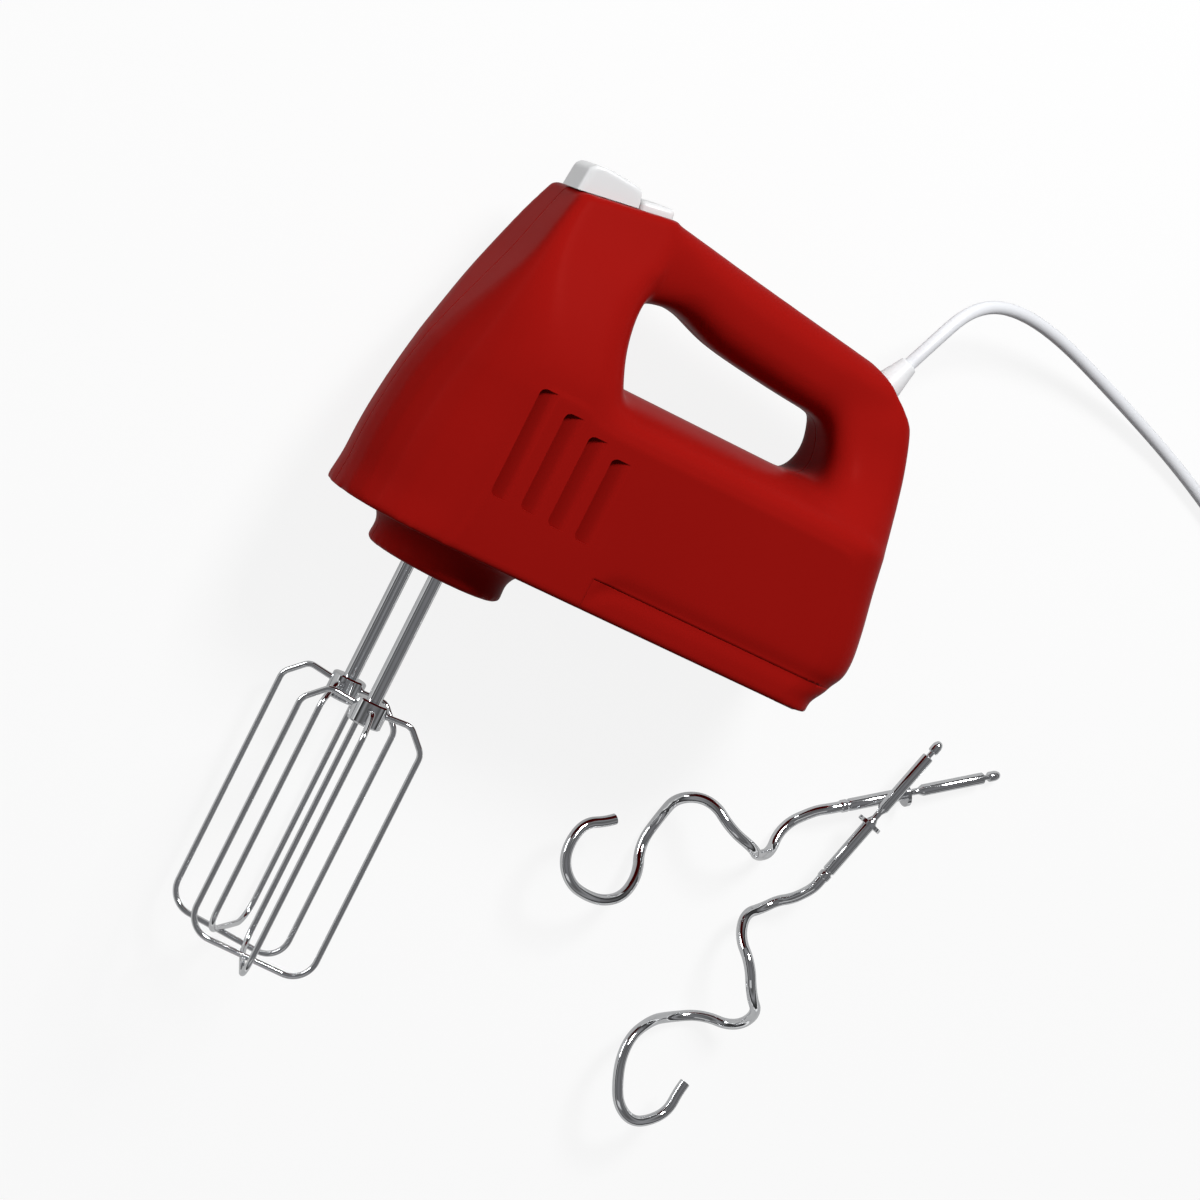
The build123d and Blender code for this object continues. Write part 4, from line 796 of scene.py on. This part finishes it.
def selector_lump():
    """Soft wedge with a flat foot."""
    bm = bmesh.new()
    near = (SELECTOR_OFFSET - SELECTOR_HALF_WIDTH) / 1000
    corners = [bm.verts.new((u / 1000, near, w / 1000)) for u, w in SELECTOR_OUTLINE]
    side = bm.faces.new(corners)
    grown = bmesh.ops.extrude_face_region(bm, geom=[side])["geom"]
    far = [v for v in grown if isinstance(v, bmesh.types.BMVert)]
    bmesh.ops.translate(bm, vec=(0, 2 * SELECTOR_HALF_WIDTH / 1000, 0), verts=far)
    bmesh.ops.recalc_face_normals(bm, faces=bm.faces[:])
    front_edges = []
    for edge in bm.edges:
        first, second = (v.co for v in edge.verts)
        if first.y == second.y and max(first.x, second.x) < SELECTOR_FRONT:
            front_edges.append(edge)
    soften(bm, front_edges, SELECTOR_CORNER, 6)
    bm = evenly_meshed(bm, SELECTOR_VOXEL)
    smooth_where(bm, SELECTOR_PASSES, bm.verts[:])
    cut_through(bm, (0, 0, SELECTOR_FOOT / 1000), (0, 0, 1), "inner")
    close_holes(bm)
    return bm


def make_selector():
    """Wedge with finger ribs across its slope and a stem that goes down through the slot."""
    bm = selector_lump()
    run, rise = (b - a for a, b in zip(SLOPE_START, SLOPE_END))
    lean = Matrix.Rotation(-math.atan2(rise, run), 4, "Y")
    for share in RIB_PLACES:
        rib = bmesh.new()
        rounded_block(rib, (0, 0, 0), RIB_SIZE, RIB_RADIUS)
        spot = (SLOPE_START[0] + run * share, SELECTOR_OFFSET, SLOPE_START[1] + rise * share - RIB_SINK)
        place = Matrix.Translation([c / 1000 for c in spot]) @ lean
        bmesh.ops.transform(rib, matrix=place, verts=rib.verts[:])
        add_to(bm, rib)
    stem_middle = (STEM_PLACE / 1000, SELECTOR_OFFSET / 1000, STEM_LEVEL / 1000)
    rounded_block(bm, stem_middle, STEM_SIZE, STEM_RADIUS, 2)
    place_piece(
        bm, "selector_wedge", "selector", "white_control", "speed_selector",
        place=TOP_FACE, limit=SELECTOR_EDGE,
    )


# Eject button and the rim under it: middle, size, edge radius, steps round an edge
EJECT_BLOCKS = [
    ((0.0157, 0, -0.0002), (0.0138, 0.022, 0.0076), 0.0020, 5),
    ((0.0157, 0, -0.0037), (0.0148, 0.0248, 0.0016), 0.0003, 2),
]


def make_eject_button():
    bm = bmesh.new()
    for block in EJECT_BLOCKS:
        rounded_block(bm, *block)
    place_piece(bm, "eject_slab", "ejector", "white_control", "eject_button", place=TOP_FACE)


# Eject spring: coil round the rod, from its guide up to the button, with the button's travel
SPRING_U, SPRING_FOOT, SPRING_HEIGHT = 0.0115, -0.0235, 0.01835
SPRING_RADIUS, SPRING_WIRE, SPRING_TURNS = 0.0049, 0.00045, 7
SPRING_SIDES, SPRING_STEPS = 10, 32 * SPRING_TURNS


def make_eject_spring():
    """Coil spring wound upwards from its foot, with a mesh of its own."""
    bm = bmesh.new()
    ring = bmesh.ops.create_circle(bm, segments=SPRING_SIDES, radius=SPRING_WIRE)["verts"]
    start = Matrix.Translation((SPRING_RADIUS, 0, SPRING_FOOT)) @ Matrix.Rotation(math.pi / 2, 4, "X")
    bmesh.ops.transform(bm, matrix=start, verts=ring)
    bmesh.ops.spin(
        bm, geom=bm.verts[:] + bm.edges[:], cent=(0, 0, 0), axis=(0, 0, 1),
        dvec=(0, 0, SPRING_HEIGHT / SPRING_STEPS), angle=2 * math.pi * SPRING_TURNS,
        steps=SPRING_STEPS, use_merge=False, use_duplicate=False,
    )
    close_holes(bm)
    bmesh.ops.recalc_face_normals(bm, faces=bm.faces[:])
    place = TOP_FACE @ Matrix.Translation((SPRING_U, 0, 0))
    spring = place_piece(bm, "eject_coil", "housing", "steel", "eject_spring", place=place)
    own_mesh(spring)


# Strain relief: (height over the corner facet, radius) from the inner end of its bore round to the outer end
RELIEF_PROFILE = [
    (-9.3, 2.7), (-9.3, 4.3), (-9.0, 4.6), (-5.7, 4.6), (-5.6, 6.0), (-5.4, 6.2), (-4.0, 6.2), (-2.0, 6.15),
    (0.5, 5.9), (3.0, 5.35), (5.5, 4.8), (8.0, 4.25), (9.6, 3.95), (10.8, 3.75), (11.3, 3.55), (11.5, 3.2),
    (11.5, 2.7), (-9.3, 2.7),
]


def make_strain_relief():
    bm = bmesh.new()
    turned(bm, RELIEF_PROFILE)
    place_piece(
        bm, "cord_sleeve", "housing", "white_relief", "strain_relief", place=GLAND_FACE, limit=SLEEVE_EDGE
    )


# Dough hooks: tip of the shank, level heading and height of the tip; the shank rises towards the twist
HOOKS = [
    ("first_hook", (210.2, -33.5), (-0.845, -0.534), 2.7),
    ("second_hook", (173.0, -31.0), (-0.271, -0.963), 14.6),
]
HOOK_REST_PLACE, HOOK_REST_HEIGHT = 150.5, 15.3
SHANK_PROFILE = [
    (0.0, 0.0), (0.1, 0.7), (0.5, 1.3), (1.4, 1.85), (2.4, 2.1), (4.9, 2.1), (5.3, 1.9), (5.5, 1.1),
    (7.7, 1.1), (7.8, 2.1), (8.1, 2.4), (35.4, 2.4), (35.8, 2.2), (37.6, 1.35), (40.4, 1.35), (41.6, 1.9),
    (42.8, 2.5), (45.0, 2.58), (68.6, 2.58), (69.0, 2.4), (69.1, 2.0), (69.7, 2.0), (69.8, 2.4),
    (70.1, 2.58), (72.2, 2.58), (72.6, 2.4), (72.9, 2.2), (75.0, 2.2), (75.0, 0.0),
]


def make_hook_shanks():
    for body, tip, heading, tip_height in HOOKS:
        along_hook = Vector((*heading, 0.0)).normalized()
        along_hook.z = (HOOK_REST_HEIGHT - tip_height) / HOOK_REST_PLACE
        turn = along_hook.normalized().to_track_quat("Z", "Y").to_matrix().to_4x4()
        place = Matrix.Translation((tip[0] / 1000, tip[1] / 1000, tip_height / 1000)) @ turn
        bm = bmesh.new()
        turned(bm, SHANK_PROFILE)
        place_piece(bm, body + "_spigot", body, "chrome_tool", body + "_shank", place=place)


# Two small feet under the rear of the base
FOOT_PLACE, FOOT_LEVEL, FOOT_ACROSS = 184.0, -0.2, 0.026
FOOT_SIZE, FOOT_RADIUS = (0.010, 0.0028, 0.014), 0.0010


def make_feet():
    bm = bmesh.new()
    for across in (FOOT_ACROSS, -FOOT_ACROSS):
        middle = (along(FOOT_PLACE), above(FOOT_LEVEL), MID_Z + across)
        rounded_block(bm, middle, FOOT_SIZE, FOOT_RADIUS)
    place_piece(bm, "rear_feet", "housing", "red_shell")


# Cord: straight out of the strain relief, over in one arc, down to the table, round the coil, out to the plug
CORD_RADIUS = 0.0026
CORD_ROUTE = [
    (0.066413, 0.084936, 0.044),
    (0.074954, 0.106076, 0.044),
    (0.086, 0.1256, 0.0377),
    (0.1035, 0.1343, 0.029),
    (0.131, 0.1345, 0.0195),
    (0.172, 0.125, 0.0085),
    (0.217423, 0.111354, 0.0037),
]
COIL_ENTRY = (0.256, 0.095)
COIL_CENTRE = (0.270051, 0.128145)
COIL_RADIUS, COIL_PITCH, COIL_STEP = 0.036, 0.0059, 0.0059
COIL_TURNS, COIL_POINTS = 5, 16
COIL_LOW_Z = 0.0037
COIL_CLIMB = 0.5  # turns taken to climb to the upper layer
COIL_SWELL = 1.012  # points stand this much outside the curve that runs between them
COIL_START = math.atan2(COIL_ENTRY[1] - COIL_CENTRE[1], COIL_ENTRY[0] - COIL_CENTRE[0])
CORD_TAIL = [(0.2827, 0.083681, 0.0088), (0.308112, 0.072909, 0.0074)]


def coil_place(turn):
    """Point of the coil after a number of turns: inwards on the table, then outwards on the layer above."""
    half = COIL_TURNS / 2
    radius = (COIL_RADIUS - COIL_PITCH * (half - abs(turn - half))) * COIL_SWELL
    angle = COIL_START + 2 * math.pi * turn
    climb = min(max((turn - half + COIL_CLIMB / 2) / COIL_CLIMB, 0.0), 1.0)
    height = COIL_LOW_Z + COIL_STEP * climb * climb * (3 - 2 * climb)
    return (COIL_CENTRE[0] + radius * math.cos(angle), COIL_CENTRE[1] + radius * math.sin(angle), height)


def make_cord():
    turns = [coil_place(i / COIL_POINTS) for i in range(COIL_TURNS * COIL_POINTS + 1)]
    points = CORD_ROUTE + turns + CORD_TAIL
    curve = bpy.data.curves.new("cord", "CURVE")
    curve.dimensions = "3D"
    curve.bevel_depth = CORD_RADIUS
    curve.bevel_resolution = 5
    curve.resolution_u = 6
    curve.use_fill_caps = True
    spline = curve.splines.new("NURBS")
    spline.points.add(len(points) - 1)
    for point, place in zip(spline.points, points):
        point.co = (*place, 1.0)
    spline.order_u = 3
    spline.use_endpoint_u = True
    curve.materials.append(SLOT_FINISH["cord_sheath"])
    cord = bpy.data.objects.new("mains_cord", curve)
    scene.collection.objects.link(cord)
    return cord


# Plug: sections along it from the cord, (place, width, thickness, corner radius)
PLUG_SECTIONS = [
    (0.6, 8.3, 8.3, 3.9), (4.0, 8.7, 8.7, 4.0), (14.0, 10.0, 9.5, 4.2), (17.5, 17.0, 10.6, 4.8),
    (22.0, 29.6, 11.8, 5.4), (27.0, 32.2, 12.4, 5.8), (35.4, 33.6, 13.2, 6.0),
]
PLUG_STEPS, PLUG_CORNER_SHARE = 4, 0.49
PLUG_END, PLUG_RIM = PLUG_SECTIONS[-1][0] / 1000, 0.0008
# Grip ribs on both broad faces: (place, width), and their height, which grows from RIBS_FROM on
PLUG_RIBS = [(24.0, 22.0), (26.6, 24.0), (29.2, 25.0), (31.8, 25.6)]
RIBS_FROM, RIBS_HEIGHT, RIBS_GROWTH = 22.0, 5.85, 0.07
PLUG_RIB_THICK, PLUG_RIB_RADIUS = 0.0012, 0.0005


def make_plug():
    start, before = Vector(CORD_TAIL[1]), Vector(CORD_TAIL[0])
    heading = Vector((start.x - before.x, start.y - before.y, 0)).normalized()
    side = Vector((-heading.y, heading.x, 0))
    bm = bmesh.new()
    faces = []
    for spot, width, thick, corner in rows_between(PLUG_SECTIONS, PLUG_STEPS):
        lift = Matrix.Translation((0, 0, spot / 1000))
        corner = min(corner, PLUG_CORNER_SHARE * thick) / 1000
        faces.append(rounded_loop(bm, lift, width / 2000, thick / 2000, corner, corner, 5))
    bridge_faces(bm, faces)
    bmesh.ops.recalc_face_normals(bm, faces=bm.faces[:])
    rim = [e for e in bm.edges if all(abs(v.co.z - PLUG_END) < 1e-6 for v in e.verts)]
    soften(bm, rim, PLUG_RIM, 3)
    for spot, width in PLUG_RIBS:
        size = (width / 1000, PLUG_RIB_THICK, PLUG_RIB_THICK)
        for broad in (1, -1):
            height = broad * (RIBS_HEIGHT + RIBS_GROWTH * (spot - RIBS_FROM)) / 1000
            rounded_block(bm, (0, height, spot / 1000), size, PLUG_RIB_RADIUS)
    place = facing(start, side, heading.cross(side), heading)
    place_piece(bm, "plug_grip", "housing", "plug_white", "plug_body", place=place)


make_housing()
make_selector()
make_eject_button()
make_eject_spring()
make_strain_relief()
make_hook_shanks()
make_feet()
make_plug()
cord = make_cord()
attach(cord, "housing")
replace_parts(cord, "cord", "cord_coil", "cord_tail")

dress_cad_nodes()

# Studio: white floor that keeps a soft shadow, white surroundings, soft lamps round the camera
FLOOR_HALF, FLOOR_LEVEL = 3.0, -0.0003
FLOOR_LIT, FLOOR_DIM = (0.8, 0.8, 0.8), (0.3, 0.3, 0.3)  # lit by the lamps, and as bounces and metal see it
FLOOR_WHITE, FLOOR_LESS = 0.88, 0.50  # share of plain white, and how much less of it metal sees
SOFT_LIGHT = {"Color": (0.95, 0.97, 1.0, 1.0), "Strength": 0.12}
PLAIN_WHITE = {"Color": (*WHITE, 1.0), "Strength": 1.0}
# Surroundings that metal reflects, from the horizon to straight up
ROOM = [
    (0.05, (1, 1, 1)),
    (0.13, (0.02, 0.02, 0.02)),
    (0.30, (0.05, 0.05, 0.05)),
    (0.55, (0.30, 0.30, 0.31)),
    (0.75, (0.10, 0.10, 0.10)),
    (1.0, (0.20, 0.20, 0.21)),
]
# Lamps: distance right of, above and before the view's centre, size, power
LAMPS = {
    "key_lamp": (0.86, 0.64, 0.98, (0.4, 0.4), 22.0),
    "side_lamp": (-0.95, 0.90, 0.66, (0.25, 0.9), 8.5),
    "low_lamp": (-0.1, -0.95, 0.8, (0.8, 0.3), 0.4),
}


def seen_directly(f):
    """One for rays that come straight from the camera or by way of a reflection."""
    mirrored = f.ray("Glossy") + f.ray("Transmission")
    return f.node("ShaderNodeMath", {"operation": "MAXIMUM"}, {0: f.ray("Camera"), 1: mirrored})


def white_floor():
    """White to the camera but for its shadow; metal sees it at nearer its lit level."""
    f = finish_named("floor_white")
    glossy_ray = f.ray("Glossy")
    colour = f.colours(f.ray("Diffuse") + glossy_ray, FLOOR_LIT, FLOOR_DIM)
    lit = f.node("ShaderNodeBsdfDiffuse", None, {"Color": colour})
    plain = f.node("ShaderNodeEmission", None, PLAIN_WHITE)
    share = (FLOOR_WHITE - FLOOR_LESS * glossy_ray) * seen_directly(f)
    mixed = f.node("ShaderNodeMixShader", None, {0: share, 1: lit, 2: plain})
    f.node("ShaderNodeOutputMaterial", None, {"Surface": mixed})
    return f.owner


def make_floor():
    bm = bmesh.new()
    bmesh.ops.create_grid(bm, x_segments=1, y_segments=1, size=FLOOR_HALF)
    bmesh.ops.translate(bm, verts=bm.verts, vec=(0, 0, FLOOR_LEVEL))
    floor = bmesh_object(bm, "floor", white_floor())


def make_world():
    """White where the camera looks; reflections find a white horizon and a dim ceiling."""
    f = Finish(bpy.data.worlds.new("surroundings"))
    soft = f.node("ShaderNodeBackground", None, SOFT_LIGHT)
    white = f.node("ShaderNodeBackground", None, PLAIN_WHITE)
    height = f.node("ShaderNodeSeparateXYZ", None, {0: f.node("ShaderNodeTexCoord")}, output="Z")
    room = f.node("ShaderNodeValToRGB", {"stops": ROOM}, {0: height})
    mirrored = f.node("ShaderNodeBackground", None, {"Color": room, "Strength": 1.0})
    plain = f.node("ShaderNodeMixShader", None, {0: f.ray("Glossy"), 1: white, 2: mirrored})
    mixed = f.node("ShaderNodeMixShader", None, {0: seen_directly(f), 1: soft, 2: plain})
    f.node("ShaderNodeOutputWorld", None, {"Surface": mixed})
    scene.world = f.owner


def make_lamp(name, right, up, back, size, power):
    """Soft rectangular lamp placed by its offset from the view centre along the view's own axes."""
    place = VIEW_CENTRE + view_right * right + view_up * up + to_camera * back
    towards = (place - VIEW_CENTRE).normalized()
    side = view_up.cross(towards).normalized()
    data = bpy.data.lights.new(name, "AREA")
    data.shape = "RECTANGLE"
    data.size, data.size_y = size
    data.energy = power
    lamp = bpy.data.objects.new(name, data)
    lamp.matrix_world = facing(place, side, towards.cross(side), towards)
    scene.collection.objects.link(lamp)


make_floor()
make_world()
for lamp_name, settings in LAMPS.items():
    make_lamp(lamp_name, *settings)
